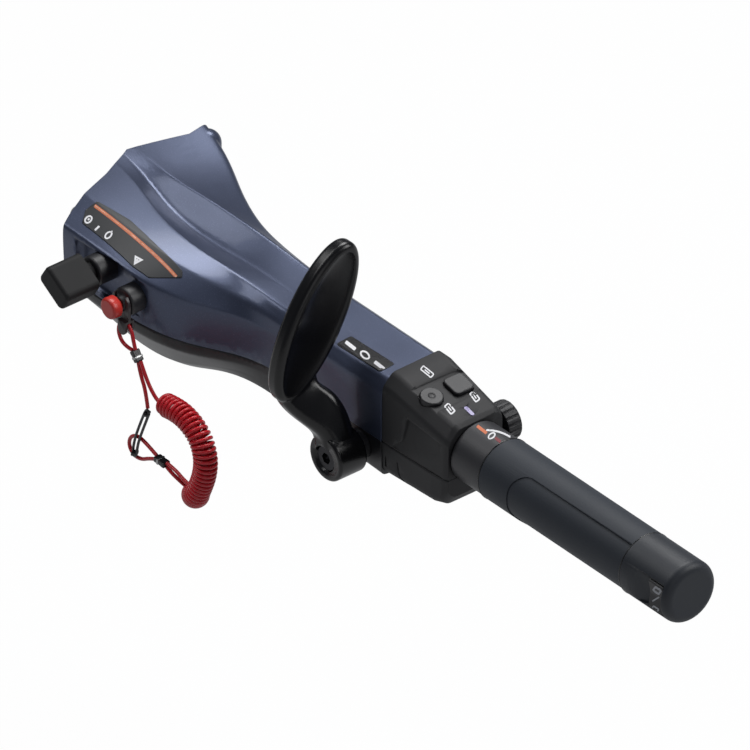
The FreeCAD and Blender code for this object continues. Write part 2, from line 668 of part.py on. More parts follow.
def make_lever():
    """The shift lever: an oval dished paddle, a broad curving web and a foot boss."""
    lean = math.radians(PADDLE_LEAN)
    up = V(0, math.sin(lean), math.cos(lean))
    side = V(0, -math.cos(lean), math.sin(lean))
    half = PADDLE_THICKNESS / 2
    oval = Part.Wire([Part.Ellipse(V(0, 0, 0), PADDLE_HALF_LENGTH, PADDLE_HALF_WIDTH).toShape()])
    blade = Part.Face(oval).extrude(V(0, 0, PADDLE_THICKNESS))
    blade.translate(V(0, 0, -half))
    blade = blade.makeFillet(half * 0.7, [edge for edge in blade.Edges if edge.isClosed()])
    stretch = FreeCAD.Matrix()
    stretch.scale(PADDLE_HALF_LENGTH - 5, PADDLE_HALF_WIDTH - 4.5, 3.0)
    dish = Part.makeSphere(1.0).transformGeometry(stretch)
    dish.translate(V(0, 0, half + 0.4))
    blade = oriented(blade.cut(dish), PADDLE_CENTRE, up, side, X_AXIS)
    arm = Part.makeLoft([web_section(*stop) for stop in LEVER_WEB], True, False)
    boss = cylinder(LEVER_BOSS_DIAMETER / 2, V(LEVER_X, LEVER_BOSS_OUTER, LEVER_Z), Y_AXIS, LEVER_BOSS_WIDTH)
    boss = boss.makeFillet(2.0, [edge for edge in boss.Edges if edge.isClosed()])
    lever = blade.fuse(arm).fuse(boss)
    shaft = SHIFT_SHAFT_DIAMETER / 2 + PRESS
    lever = lever.cut([
        bore_at(LEVER_X, LEVER_BOSS_OUTER - 30, LEVER_Z, LEVER_COUNTERBORE / 2, 36),
        bore_at(LEVER_X, LEVER_BOSS_OUTER + 5, LEVER_Z, shaft),
    ])
    return lever


def make_lever_bolt():
    """The lever's socket-head bolt, down the middle of the shift shaft."""
    seat = LEVER_BOSS_OUTER + 6
    bolt = bore_at(LEVER_X, seat - 5, LEVER_Z, LEVER_BOLT_HEAD / 2, 5)
    bolt = bolt.fuse(bore_at(LEVER_X, seat, LEVER_Z, LEVER_BOLT_DIAMETER / 2, 14))
    points = []
    for corner in range(6):
        angle = math.radians(60 * corner)
        points.append(V(LEVER_X + 4 * math.cos(angle), seat - 5, LEVER_Z + 4 * math.sin(angle)))
    return bolt.cut(prism(points, V(0, 3.5, 0))).removeSplitter()


def make_shift_shaft():
    """The shift shaft from the lever's foot to the crank, hollow for the bolt."""
    start = LEVER_BOSS_OUTER + 6
    length = CRANK_START + CRANK_THICKNESS - start
    shaft = bore_at(LEVER_X, start, LEVER_Z, SHIFT_SHAFT_DIAMETER / 2, length)
    return shaft.cut(bore_at(LEVER_X, start, LEVER_Z, LEVER_BOLT_DIAMETER / 2 + PRESS, 15))


def make_shift_bush():
    """The flanged bush that carries the shift shaft in the arm."""
    inner = SHIFT_SHAFT_DIAMETER / 2 + FIT
    outer = SHIFT_BUSH_DIAMETER / 2
    wall = -NECK_HALF_WIDTH - 0.7
    sleeve = ring(outer, inner, V(LEVER_X, wall, LEVER_Z), Y_AXIS, BEAM_HALF_WIDTH - wall)
    flange = ring(outer + 3, inner, V(LEVER_X, LEVER_BOSS_INNER + GAP, LEVER_Z), Y_AXIS,
                  wall - LEVER_BOSS_INNER - GAP)
    return sleeve.fuse(flange).removeSplitter()


def make_crank():
    """The crank on the shift shaft: an arm with a pin for the link."""
    low = V(LEVER_X, CRANK_START, LEVER_Z)
    high = V(LEVER_X, CRANK_START, LINK_Z)
    crank = cylinder(9, low, Y_AXIS, CRANK_THICKNESS)
    crank = crank.fuse(cylinder(4.5, high, Y_AXIS, CRANK_THICKNESS))
    web = [low + V(-8.6, 0, 2), low + V(8.6, 0, 2), high + V(4.4, 0, 1), high + V(-4.4, 0, 1)]
    crank = crank.fuse(prism(web, V(0, CRANK_THICKNESS, 0)))
    crank = crank.cut(bore_at(LEVER_X, CRANK_START - 1, LEVER_Z, SHIFT_SHAFT_DIAMETER / 2 + PRESS, 20))
    pin = cylinder(CRANK_PIN / 2, high + V(0, CRANK_THICKNESS - 1, 0), Y_AXIS, 4.6)
    return crank.fuse(pin).removeSplitter()


def make_link():
    """The shift link: a rod in two guides with a slotted eye at the crank's pin."""
    eye_start = CRANK_START + CRANK_THICKNESS + GAP
    eye = box((LEVER_X - 6, LEVER_X + 6), (eye_start, eye_start + 2.8), (LINK_Z - 6.5, LINK_Z + 6.5))
    slot = box((LEVER_X - 2.6, LEVER_X + 2.6), (eye_start - 1, eye_start + 5), (LINK_Z - 4.6, LINK_Z + 2.6))
    rod = cylinder(LINK_DIAMETER / 2, V(LINK_TAIL + 3, LINK_Y, LINK_Z), X_AXIS, LEVER_X - 6 - LINK_TAIL)
    tail = cylinder(4.5, V(LINK_TAIL, LINK_Y - 2.5, LINK_Z), Y_AXIS, 5)
    hole = cylinder(LINK_EYE / 2, V(LINK_TAIL, LINK_Y - 5, LINK_Z), Y_AXIS, 10)
    return rod.fuse(eye).fuse(tail).cut(slot).cut(hole).removeSplitter()


def console_corners(half, top, bottom):
    """The console's outline: a roof with a tight right shoulder, a sloped left one and an open bottom edge."""
    return [(half - 4, top + 0.6, 4), (half + 0.2, top - 4, 5), (half + 0.4, bottom, 1), (-half - 0.4, bottom, 1),
            (-half, top - 8, 7), (-half + 8, top, 6)]


def console_solid(inset, reach):
    """The console's outer body, moved inwards by inset, its foot and rear pushed out by reach."""
    bottom = SEAM_HEIGHT + SEAM_GAP / 2 - reach
    front = CONSOLE_FRONT - inset
    wires = [
        section(CONSOLE_START - reach, console_corners(24.6, CONSOLE_TOP_REAR, bottom), inset),
        section(CONSOLE_START + 8, console_corners(24.6, CONSOLE_TOP_REAR, bottom), inset),
        section(front - 3, console_corners(22.6, CONSOLE_TOP_FRONT + 0.6, bottom), inset),
        section(front, console_corners(21.4, CONSOLE_TOP_FRONT - 1.4, bottom), inset),
    ]
    return Part.makeLoft(wires, True, True)


def on_console(shape, x, y):
    """A shape built about the origin, set on the console's sloping roof at a place."""
    slope = math.radians(CONSOLE_SLOPE)
    height = CONSOLE_TOP_REAR - (x - CONSOLE_START - 8) * math.tan(slope)
    return oriented(shape, V(x, y, height), V(math.cos(slope), 0, -math.sin(slope)), Y_AXIS,
                    V(math.sin(slope), 0, math.cos(slope)))


def rounded_block(half_x, half_y, low, high, radius):
    """A block about the origin with rounded upright edges."""
    corners = [(V(half_x, half_y, low), radius), (V(half_x, -half_y, low), radius),
               (V(-half_x, -half_y, low), radius), (V(-half_x, half_y, low), radius)]
    return Part.Face(rounded_wire(corners)).extrude(V(0, 0, high - low))


def side_panel(grow):
    """The leaning panel on the console's left side: a wedge that leans in towards its top."""
    window = Part.Face(rounded_wire(PANEL_OUTLINE)).extrude(V(0, 30, 0))
    face = -NECK_HALF_WIDTH + grow
    lean = [V(0, -40, PANEL_LOW - 2), V(0, face + 0.2, PANEL_LOW - 2), V(0, face + PANEL_LEAN, PANEL_HIGH + 2),
            V(0, -40, PANEL_HIGH + 2)]
    return window.common(prism(lean, V(400, 0, 0)))


def make_console():
    """The switch console's cover, with its button recess, pointer slot, sleeve opening and side panel."""
    console = console_solid(0, 0).cut(console_solid(CONSOLE_WALL, 4.0))
    lining = side_panel(CONSOLE_WALL).common(console_solid(GAP, 0))
    console = console.fuse(lining).cut(side_panel(0))
    recess = on_console(rounded_block(12, 22, -1.0, 6, 8), BUTTON_X, 0)
    round_hole = on_console(cylinder(BUTTON_ROUND_DIAMETER / 2 + GAP, V(0, 0, -8), Z_AXIS, 16), BUTTON_X, -BUTTON_Y)
    half = BUTTON_SQUARE / 2 + GAP
    square_hole = on_console(rounded_block(half, half, -8, 8, 3), BUTTON_X, BUTTON_Y)
    slot = on_console(rounded_block(4.4, 1.5, -0.9, 4, 1.2), POINTER_X, 1.6)
    sleeve = cylinder(SLEEVE_RADIUS + GAP, V(CONSOLE_FRONT - 10, 0, AXIS_HEIGHT), X_AXIS, 30)
    screw = bore_at(KNOB_X, 10, KNOB_Z, KNOB_SCREW_DIAMETER / 2 + GAP, 30)
    return console.cut([recess, round_hole, square_hole, slot, sleeve, screw])


def service_corners(half, bottom, inset_top):
    """The service cover's outline under the seam."""
    top = SEAM_HEIGHT - SEAM_GAP / 2 + inset_top
    return [(half, top, 1), (half - 0.6, bottom, 8), (-half + 0.6, bottom, 8), (-half, top, 1)]


def service_solid(inset, reach):
    """The service cover's outer body, moved inwards by inset, its top and rear pushed out by reach."""
    front = CONSOLE_FRONT - inset
    wires = [
        section(CONSOLE_START - reach, service_corners(25.0, CONSOLE_BOTTOM_REAR, reach), inset),
        section(front - 14, service_corners(24.0, CONSOLE_BOTTOM_REAR + 1.5, reach), inset),
        section(front - 5, service_corners(23.4, CONSOLE_BOTTOM_REAR + 4, reach), inset),
        section(front, service_corners(21.8, CONSOLE_BOTTOM_FRONT, reach), inset),
    ]
    return Part.makeLoft(wires, True, True)


def groove(points):
    """A cutter for a narrow groove in the service cover's left side, along (x, z) points."""
    half = GROOVE_WIDTH / 2
    cutter = None
    for start, end in zip(points, points[1:]):
        low = V(start[0], -40, start[1])
        high = V(end[0], -40, end[1])
        along = (high - low).normalize() * half
        edge = V(-along.z, 0, along.x)
        piece = prism([low - edge, high - edge, high + edge, low + edge], V(0, 40, 0))
        piece = piece.fuse(cylinder(half, high, Y_AXIS, 40))
        cutter = piece if cutter is None else cutter.fuse(piece)
    return cutter.common(service_solid(-1.0, 0).cut(service_solid(GROOVE_DEPTH, 0)))


def make_service_cover():
    """The cover under the console, with screw holes, the sleeve opening and its left side's grooves."""
    cover = service_solid(0, 0).cut(service_solid(CONSOLE_WALL, 4.0))
    cover = cover.cut([groove(route) for route in GROOVES])
    sleeve = cylinder(SLEEVE_RADIUS + GAP, V(CONSOLE_FRONT - 10, 0, AXIS_HEIGHT), X_AXIS, 30)
    holes = [cylinder(2 + GAP, V(x, y, -60), Z_AXIS, 50) for x, y in CONSOLE_SCREW_PLACES]
    posts = None
    for x, y in CONSOLE_SCREW_PLACES:
        post = cylinder(4.5, V(x, y, -40), Z_AXIS, 40 + BLOCK_BOTTOM - GAP).common(service_solid(0.5, 0))
        posts = post if posts is None else posts.fuse(post)
    return cover.fuse(posts).cut([sleeve] + holes)


def make_console_screws():
    """The service cover's screws, into the arm's front block."""
    screws = []
    for x, y in CONSOLE_SCREW_PLACES:
        shank = cylinder(2, V(x, y, CONSOLE_BOTTOM_REAR), Z_AXIS, BLOCK_BOTTOM + 10 - CONSOLE_BOTTOM_REAR)
        head = cylinder(3.8, V(x, y, CONSOLE_BOTTOM_REAR - 2), Z_AXIS, 2)
        screws.append(head.fuse(shank).removeSplitter())
    return Part.makeCompound(screws)


def make_round_button():
    """The round speed button with a dimple."""
    button = cylinder(BUTTON_ROUND_DIAMETER / 2, V(0, 0, -4.5), Z_AXIS, 5.9)
    button = button.makeFillet(0.9, [edge for edge in button.Edges if edge.isClosed() and edge.CenterOfMass.z > 0])
    return on_console(button.cut(Part.makeSphere(6, V(0, 0, 6.7))), BUTTON_X, -BUTTON_Y)


def make_square_button():
    """The square speed button with a crowned top."""
    half = BUTTON_SQUARE / 2
    button = rounded_block(half, half, -4.5, 1.6, 3)
    rim = [edge for edge in button.Edges if abs(edge.CenterOfMass.z - 1.6) < 0.01]
    return on_console(button.makeFillet(0.9, rim), BUTTON_X, BUTTON_Y)


def make_switch_block():
    """The switch block under both buttons, standing on the arm's front block."""
    low = box((BUTTON_X - 8, min(BUTTON_X + 8, BLOCK_END)), (-16, 16), (BLOCK_TOP + GAP, BLOCK_TOP + 4))
    high = on_console(box((-8, 8), (-16, 16), (-11, -4.5 - BUTTON_TRAVEL - GAP)), BUTTON_X, 0)
    return low.fuse(high)


def make_pointer():
    """The small pointer in its slot, aimed at the collar."""
    return on_console(rounded_block(4.2, 1.3, -0.9, 0.5, 1.0), POINTER_X, 1.6)


def make_friction_knob():
    """The friction knob with a ribbed rim and its screw."""
    outer = NECK_HALF_WIDTH + 0.6
    radius = KNOB_DIAMETER / 2
    knob = bore_at(KNOB_X, outer, KNOB_Z, radius, KNOB_WIDTH)
    knob = knob.makeFillet(1.4, [edge for edge in knob.Edges if edge.isClosed() and edge.CenterOfMass.y > outer + 1])
    grooves = []
    for step in range(18):
        angle = math.radians(20 * step)
        place = V(KNOB_X + (radius + 0.5) * math.cos(angle), outer - 1, KNOB_Z + (radius + 0.5) * math.sin(angle))
        grooves.append(cylinder(1.3, place, Y_AXIS, KNOB_WIDTH + 2))
    screw = bore_at(KNOB_X, SHOE_OUTER + GAP, KNOB_Z, KNOB_SCREW_DIAMETER / 2, outer - SHOE_OUTER)
    return knob.cut(grooves).fuse(screw).removeSplitter()


def make_friction_shoe():
    """The shoe between the friction screw and the sleeve."""
    band = ring(SHOE_OUTER, SLEEVE_RADIUS + GAP, V(KNOB_X - 5, 0, AXIS_HEIGHT), X_AXIS, 10)
    return band.common(box((KNOB_X - 6, KNOB_X + 6), (10, 30), (AXIS_HEIGHT - 9, AXIS_HEIGHT + 9)))


def make_key_switch():
    """The key switch's body: a bezel on the pocket's floor and a barrel through it."""
    bezel_start = POCKET_FLOOR - KEY_BEZEL_LENGTH
    body = bore_at(KEY_X, bezel_start, KEY_Z, KEY_BEZEL_DIAMETER / 2, KEY_BEZEL_LENGTH)
    body = body.makeFillet(1.5, [e for e in body.Edges if e.isClosed() and e.CenterOfMass.y < bezel_start + 1])
    body = body.fuse(bore_at(KEY_X, POCKET_FLOOR, KEY_Z, KEY_BARREL_DIAMETER / 2, 34))
    return body.cut(bore_at(KEY_X, bezel_start - 1, KEY_Z, KEY_STEM_DIAMETER / 2 + FIT, 20)).removeSplitter()


def make_key_knob():
    """The key's knob: a rounded block on a neck, turned aslant, with a stem."""
    base = POCKET_FLOOR - KEY_BEZEL_LENGTH
    block = rounded_block(13, 8, 0, 26, 4)
    block = block.makeFillet(2.5, [edge for edge in block.Edges if abs(edge.CenterOfMass.z - 26) < 0.01])
    tilt = math.radians(32)
    across = V(math.cos(tilt), 0, -math.sin(tilt))
    up = V(math.sin(tilt), 0, math.cos(tilt))
    block = oriented(block, V(KEY_X, base - 4, KEY_Z), across, up, V(0, -1, 0))
    neck = bore_at(KEY_X, base - 4.5, KEY_Z, 7, 4.5 - GAP)
    stem = bore_at(KEY_X, base - 1, KEY_Z, KEY_STEM_DIAMETER / 2, 16)
    return block.fuse(neck).fuse(stem)


def make_switch_nut(x, z, barrel):
    """A ring nut inside the pocket's floor."""
    points = []
    for corner in range(6):
        angle = math.radians(60 * corner + 30)
        points.append(V(x + (barrel / 2 + 1.5) * math.cos(angle), 0, z + (barrel / 2 + 1.5) * math.sin(angle)))
    nut = prism(points, V(0, NUT_THICKNESS, 0))
    nut.translate(V(0, POCKET_FLOOR + WALL + 2 * GAP, 0))
    return nut.cut(bore_at(x, -80, z, barrel / 2 + PRESS, 60))


def make_stop_switch():
    """The stop switch's body: collar, neck for the clip, and barrel."""
    collar_start = POCKET_FLOOR - STOP_COLLAR_LENGTH
    body = bore_at(STOP_X, collar_start, STOP_Z, STOP_COLLAR_DIAMETER / 2, STOP_COLLAR_LENGTH)
    body = body.makeFillet(1.5, [e for e in body.Edges if e.isClosed() and e.CenterOfMass.y < collar_start + 1])
    body = body.fuse(bore_at(STOP_X, STOP_NECK_END, STOP_Z, STOP_NECK_DIAMETER / 2, collar_start - STOP_NECK_END + 1))
    body = body.fuse(bore_at(STOP_X, POCKET_FLOOR, STOP_Z, STOP_BARREL_DIAMETER / 2, 30))
    return body.cut(bore_at(STOP_X, STOP_NECK_END - 1, STOP_Z, STOP_STEM_DIAMETER / 2 + FIT, 26)).removeSplitter()


def make_stop_button():
    """The red stop button: a domed cap on a stem."""
    face = STOP_NECK_END - STOP_TRAVEL - GAP
    cap = bore_at(STOP_X, face - 6.5, STOP_Z, 7.2, 6.5)
    cap = cap.makeFillet(1.8, [e for e in cap.Edges if e.isClosed() and e.CenterOfMass.y < face - 5])
    stem = bore_at(STOP_X, face - 1, STOP_Z, STOP_STEM_DIAMETER / 2, 20)
    return cap.fuse(stem).removeSplitter()


def make_clip():
    """The lanyard clip: a fork round the stop switch's neck, with two cheeks and a pin for the cord's eye."""
    half = 1.0
    neck = STOP_NECK_DIAMETER / 2 + FIT * 4
    fork = cylinder(neck + 3.2, V(STOP_X, LANYARD_Y - half, STOP_Z), Y_AXIS, 2 * half)
    tongue = box((STOP_X - 1, CLIP_PIN_X + 3.6), (LANYARD_Y - half, LANYARD_Y + half), (CLIP_PIN_Z + 5, STOP_Z))
    fork = fork.fuse(tongue)
    fork = fork.cut(bore_at(STOP_X, -100, STOP_Z, neck, 60))
    fork = fork.cut(box((STOP_X - neck, STOP_X + neck), (-100, -60), (STOP_Z, STOP_Z + 20)))
    bridge = box((CLIP_PIN_X - 3.6, CLIP_PIN_X + 3.6), (LANYARD_Y - 3.6, LANYARD_Y + 3.6),
                 (CLIP_PIN_Z + 4.6, CLIP_PIN_Z + 6.2))
    clip = fork.fuse(bridge)
    for y in (LANYARD_Y - 3.6, LANYARD_Y + 2.0):
        cheek = box((CLIP_PIN_X - 3.6, CLIP_PIN_X + 3.6), (y, y + 1.6), (CLIP_PIN_Z - 1, CLIP_PIN_Z + 5))
        cheek = cheek.fuse(cylinder(3.6, V(CLIP_PIN_X, y, CLIP_PIN_Z), Y_AXIS, 1.6))
        clip = clip.fuse(cheek)
    pin = cylinder(1.4, V(CLIP_PIN_X, LANYARD_Y - 3, CLIP_PIN_Z), Y_AXIS, 6)
    return clip.fuse(pin).removeSplitter()


def lanyard_point(x, z):
    """A point of the lanyard's own upright plane."""
    return V(x, LANYARD_Y, z)


def tube(name, route, diameter):
    """A tube along straight runs joined by tangent arcs, with its radii and length printed."""
    points = [lanyard_point(x, z) for x, z in route]
    edges = []
    radii = []
    last = points[0]
    for i in range(1, len(points) - 1):
        back = points[i - 1] - points[i]
        ahead = points[i + 1] - points[i]
        half = back.getAngle(ahead) / 2
        cut = 0.45 * min(back.Length, ahead.Length)
        back.normalize()
        ahead.normalize()
        radius = cut * math.tan(half)
        middle = points[i] + (back + ahead).normalize() * (radius / math.sin(half) - radius)
        start = points[i] + back * cut
        end = points[i] + ahead * cut
        edges.append(Part.LineSegment(last, start).toShape())
        edges.append(Part.Arc(start, middle, end).toShape())
        radii.append(round(radius, 1))
        last = end
    edges.append(Part.LineSegment(last, points[-1]).toShape())
    path = Part.Wire(edges)
    along = points[1] - points[0]
    profile = Part.Wire([Part.Circle(points[0], along, diameter / 2).toShape()])
    solid = path.makePipeShell([profile], True, False)
    expected = math.pi * diameter ** 2 / 4 * path.Length
    print(name, "radii", radii, "length", round(path.Length, 1), "volume share", round(solid.Volume / expected, 4))
    return solid


def ferrule(start, end):
    """A flattened crimp ferrule round two strands, from one point to another."""
    along = lanyard_point(*end) - lanyard_point(*start)
    length = along.Length
    along.normalize()
    block = rounded_block(FERRULE_WIDTH / 2, CORD_DIAMETER / 2 + 0.9, 0, length, CORD_DIAMETER / 2 + 0.8)
    return oriented(block, lanyard_point(*start), Y_AXIS.cross(along) * -1, Y_AXIS * -1, along)


def strand_ends(start, end, at_end):
    """The centres of two strands side by side at one face of a ferrule."""
    along = V(end[0] - start[0], 0, end[1] - start[1]).normalize()
    side = V(along.z, 0, -along.x) * (CORD_DIAMETER / 2 + 0.15)
    face = end if at_end else start
    return (face[0] + side.x, face[1] + side.z), (face[0] - side.x, face[1] - side.z)


def make_snap_hook():
    """The snap hook: a socket, a flat bar and a ring round the lower eye."""
    top = lanyard_point(*HOOK_TOP)
    low = lanyard_point(*HOOK_RING)
    along = low - top
    length = along.Length - 2.6
    along.normalize()
    across = Y_AXIS.cross(along)
    bar = oriented(rounded_block(2.4, 1.4, 3, length, 1.0), top, across * -1, Y_AXIS * -1, along)
    socket = cylinder(2.6, top, along, 6)
    loop = Part.makeTorus(2.9, 1.0, low, HOOK_RING_AXIS)
    return bar.fuse(socket).fuse(loop)


# Values that follow from those above
LINK_Z = LEVER_Z + CRANK_RADIUS
CRANK_START = BEAM_HALF_WIDTH + GAP
LINK_Y = CRANK_START + CRANK_THICKNESS + 2.1
SHOE_OUTER = SLEEVE_RADIUS + 4.0
POINTER_X = CONSOLE_FRONT - 8.0
GROOVES = (
    tuple((CONSOLE_START + x, z) for x, z in
          ((14.0, -14.5), (15.0, -21.0), (17.0, -25.0), (20.5, -27.3), (25.5, -28.0), (43.0, -26.0))),
    tuple((CONSOLE_START + x, z) for x, z in ((3.0, -15.5), (3.0, -22.5))),
)
PANEL_LOW = SEAM_HEIGHT + 1.4
PANEL_HIGH = 22.5
PANEL_OUTLINE = tuple((V(CONSOLE_START + x, -40, z), radius) for x, z, radius in (
    (9.0, PANEL_LOW, 1.0), (19.0, 4.0, 9.0), (22.5, PANEL_HIGH, 2.0), (53.0, PANEL_HIGH - 3.5, 2.0),
    (56.0, PANEL_LOW, 1.0)))
CONSOLE_SCREW_PLACES = ((BLOCK_START + 6, -11.0), (BLOCK_START + 6, 11.0))
ROCKER_START = GRIP_TIP - 18.6
ROCKER_END = GRIP_TIP - 5.6
ROCKER_PIN = 2.4
ROCKER_PIVOT_Y = -GRIP_RADIUS + 7.6
STOP_TRAVEL = 3.0
STOP_NECK_END = LANYARD_Y - 1.6
CLIP_PIN_X = 110.6
CLIP_PIN_Z = 9.2
FERRULE_WIDTH = 2 * CORD_DIAMETER + 1.6
UPPER_FERRULE = ((118.5, -3.5), (123.5, -9.5))
LOWER_FERRULE = ((150.0, -73.0), (140.0, -72.4))
HOOK_TOP = (131.5, -40.0)
HOOK_RING = (122.0, -66.3)
HOOK_RING_AXIS = V(1, 0, 0.1)
COIL_ROUTE = ((147.0, -29.0), (160.0, -26.5), (173.5, -29.0), (184.0, -36.5), (188.5, -48.5), (187.0, -61.5),
              (182.5, -73.0))


def lanyard_parts():
    """The cords, coil, ferrules and hook, by name."""
    eye_left, eye_right = strand_ends(*UPPER_FERRULE, False)
    lead_left, lead_right = strand_ends(*UPPER_FERRULE, True)
    back_high, back_low = strand_ends(*LOWER_FERRULE, False)
    loop_high, loop_low = strand_ends(*LOWER_FERRULE, True)
    upper_eye = [eye_left, (112.5, -5.0), (105.5, -3.0), (102.6, 4.0), (105.2, 11.0), (111.5, 13.6), (116.2, 9.0),
                 (117.6, 3.0), eye_right]
    lead = [lead_right, (129.0, -17.0), (135.0, -25.0), (141.5, -30.0), COIL_ROUTE[0]]
    tether = [lead_left, (124.5, -18.5), (129.5, -28.0), HOOK_TOP]
    upper_return = [(181.5, -74.5), (174.0, -76.8), (166.0, -75.4), (158.0, -72.2), back_high]
    lower_return = [(182.5, -73.0), (180.5, -83.5), (171.5, -86.0), (163.0, -80.5), (156.5, -76.0), back_low]
    lower_eye = [loop_high, (131.0, -67.5), (122.0, -65.5), (114.5, -69.5), (112.5, -77.0), (117.5, -82.5),
                 (125.5, -81.5), (132.5, -77.0), loop_low]
    return {
        "eye_cord": tube("eye_cord", upper_eye, CORD_DIAMETER),
        "lead_cord": tube("lead_cord", lead, CORD_DIAMETER),
        "tether_cord": tube("tether_cord", tether, CORD_DIAMETER),
        "lanyard_coil": tube("lanyard_coil", COIL_ROUTE, COIL_DIAMETER),
        "return_cord": tube("return_cord", lower_return, CORD_DIAMETER),
        "upper_return_cord": tube("upper_return_cord", upper_return, CORD_DIAMETER),
        "lower_eye_cord": tube("lower_eye_cord", lower_eye, CORD_DIAMETER),
        "ferrules": Part.makeCompound([ferrule(*UPPER_FERRULE), ferrule(*LOWER_FERRULE)]),
        "snap_hook": make_snap_hook(),
    }


def skin(outline):
    """A thin plate that follows the housing's surface inside an outline seen from above."""
    raised = housing_solid()
    raised.translate(V(0, 0, SKIN))
    window = Part.Face(rounded_wire([(V(x, y, 20), r) for x, y, r in outline])).extrude(V(0, 0, 60))
    return raised.common(window).cut(housing_solid())


def make_icon_panel():
    """The charcoal panel on the pod's top."""
    return skin(((46.5, -50.5, 1.5), (72, -45.2, 3), (101.7, -46.3, 3), (124, -45.9, 1.5), (126.5, -48.5, 0.8),
                 (113.6, -64.4, 3), (101.5, -67.3, 3), (52, -67.6, 3), (46, -60, 3)))


def make_gear_label():
    """The label beside the shift lever on the neck's top."""
    return skin(((240, -6.5, 1.5), (281, -5.5, 1.5), (282, -18, 1.5), (241, -19, 1.5)))


def main():
    """Build every piece and write one STEP file for each."""
    os.makedirs("parts", exist_ok=True)
    parts = {
        "tiller_arm": make_arm(),
        "pivot_bushes": make_pivot_bushes(),
        "upper_cover": make_upper_cover(),
        "lower_cover": make_lower_cover(),
        "cover_screws": make_cover_screws(),
        "icon_panel": make_icon_panel(),
        "gear_label": make_gear_label(),
        "switch_console": make_console(),
        "service_cover": make_service_cover(),
        "console_screws": make_console_screws(),
        "round_button": make_round_button(),
        "square_button": make_square_button(),
        "switch_block": make_switch_block(),
        "throttle_pointer": make_pointer(),
        "friction_knob": make_friction_knob(),
        "friction_shoe": make_friction_shoe(),
        "key_switch_body": make_key_switch(),
        "key_switch_nut": make_switch_nut(KEY_X, KEY_Z, KEY_BARREL_DIAMETER),
        "key_knob": make_key_knob(),
        "stop_switch_body": make_stop_switch(),
        "stop_switch_nut": make_switch_nut(STOP_X, STOP_Z, STOP_BARREL_DIAMETER),
        "stop_button": make_stop_button(),
        "lanyard_clip": make_clip(),
        "grip_tube": make_tube(),
        "shaft_bushes": make_shaft_bushes(),
        "throttle_shaft": make_shaft(),
        "throttle_drum": make_drum(),
        "throttle_sleeve": make_sleeve(),
        "throttle_collar": make_collar(),
        "rubber_grip": make_rubber(),
        "grip_end": make_grip_end(),
        "thumb_rocker": make_rocker(),
        "rocker_pin": rocker_pin_cutter(-PRESS),
        "shift_lever": make_lever(),
        "lever_bolt": make_lever_bolt(),
        "shift_shaft": make_shift_shaft(),
        "shift_bush": make_shift_bush(),
        "shift_crank": make_crank(),
        "shift_link": make_link(),
    }
    parts.update(lanyard_parts())
    for name, shape in parts.items():
        shape.exportStep(os.path.join("parts", name + ".step"))
        print(name, "solids", len(shape.Solids), "valid", shape.isValid(), "volume", round(shape.Volume))


main()
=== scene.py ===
"""An outboard motor's tiller handle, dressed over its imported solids.

The painted housing, the black covers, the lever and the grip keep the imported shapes, merged and smoothed.
The lanyard, the printed marks, the gaskets and the studio are modelled here. Everything is in metres in the
part's frame, and sizes named in millimetres are turned into metres where a mesh is made.
"""

import json
import logging
import math
from dataclasses import dataclass
from enum import Enum

import bpy
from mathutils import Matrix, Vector

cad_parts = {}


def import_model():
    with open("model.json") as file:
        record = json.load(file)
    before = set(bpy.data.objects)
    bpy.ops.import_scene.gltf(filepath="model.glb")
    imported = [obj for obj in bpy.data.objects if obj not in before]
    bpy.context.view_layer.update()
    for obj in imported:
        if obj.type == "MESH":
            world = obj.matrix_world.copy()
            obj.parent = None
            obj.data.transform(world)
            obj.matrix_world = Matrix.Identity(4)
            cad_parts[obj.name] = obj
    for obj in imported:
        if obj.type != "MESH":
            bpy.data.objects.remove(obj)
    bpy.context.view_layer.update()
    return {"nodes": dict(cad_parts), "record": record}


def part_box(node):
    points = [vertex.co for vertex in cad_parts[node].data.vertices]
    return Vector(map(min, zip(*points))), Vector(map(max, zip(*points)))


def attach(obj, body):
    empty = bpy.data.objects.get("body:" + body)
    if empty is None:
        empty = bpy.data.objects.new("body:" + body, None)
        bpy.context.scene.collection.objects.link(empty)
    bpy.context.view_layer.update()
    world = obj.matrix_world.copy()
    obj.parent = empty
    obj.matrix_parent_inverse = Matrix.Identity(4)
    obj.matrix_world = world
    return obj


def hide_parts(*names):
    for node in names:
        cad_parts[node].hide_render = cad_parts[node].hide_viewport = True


log = logging.getLogger("tiller")
MM = 0.001
PHOTO_PIXELS = 750
PIXELS_PER_MM = 1.62


def linear(code: str) -> tuple[float, float, float, float]:
    """Turn an sRGB hex colour into linear light.

    Args:
        code: six hex digits, such as "c0202a".

    Returns:
        Linear red, green, blue and an alpha of one.
    """
    shares = [int(code[i:i + 2], 16) / 255 for i in (0, 2, 4)]
    bright = [share / 12.92 if share <= 0.04045 else ((share + 0.055) / 1.055) ** 2.4 for share in shares]
    return bright[0], bright[1], bright[2], 1.0


def add_node(tree: bpy.types.NodeTree, kind: str, links: dict | None = None, values: dict | None = None,
             **settings) -> bpy.types.Node:
    """Add a shader node with its settings, socket values and links.

    Args:
        tree: the node tree that it goes into.
        kind: the node's type name, without its ShaderNode prefix.
        links: input socket to the output socket that feeds it.
        values: input socket to a fixed value.
        settings: attributes of the node itself.

    Returns:
        The new node.
    """
    node = tree.nodes.new("ShaderNode" + kind)
    for name, value in settings.items():
        setattr(node, name, value)
    for socket, value in (values or {}).items():
        node.inputs[socket].default_value = value
    for socket, source in (links or {}).items():
        tree.links.new(source, node.inputs[socket])
    return node


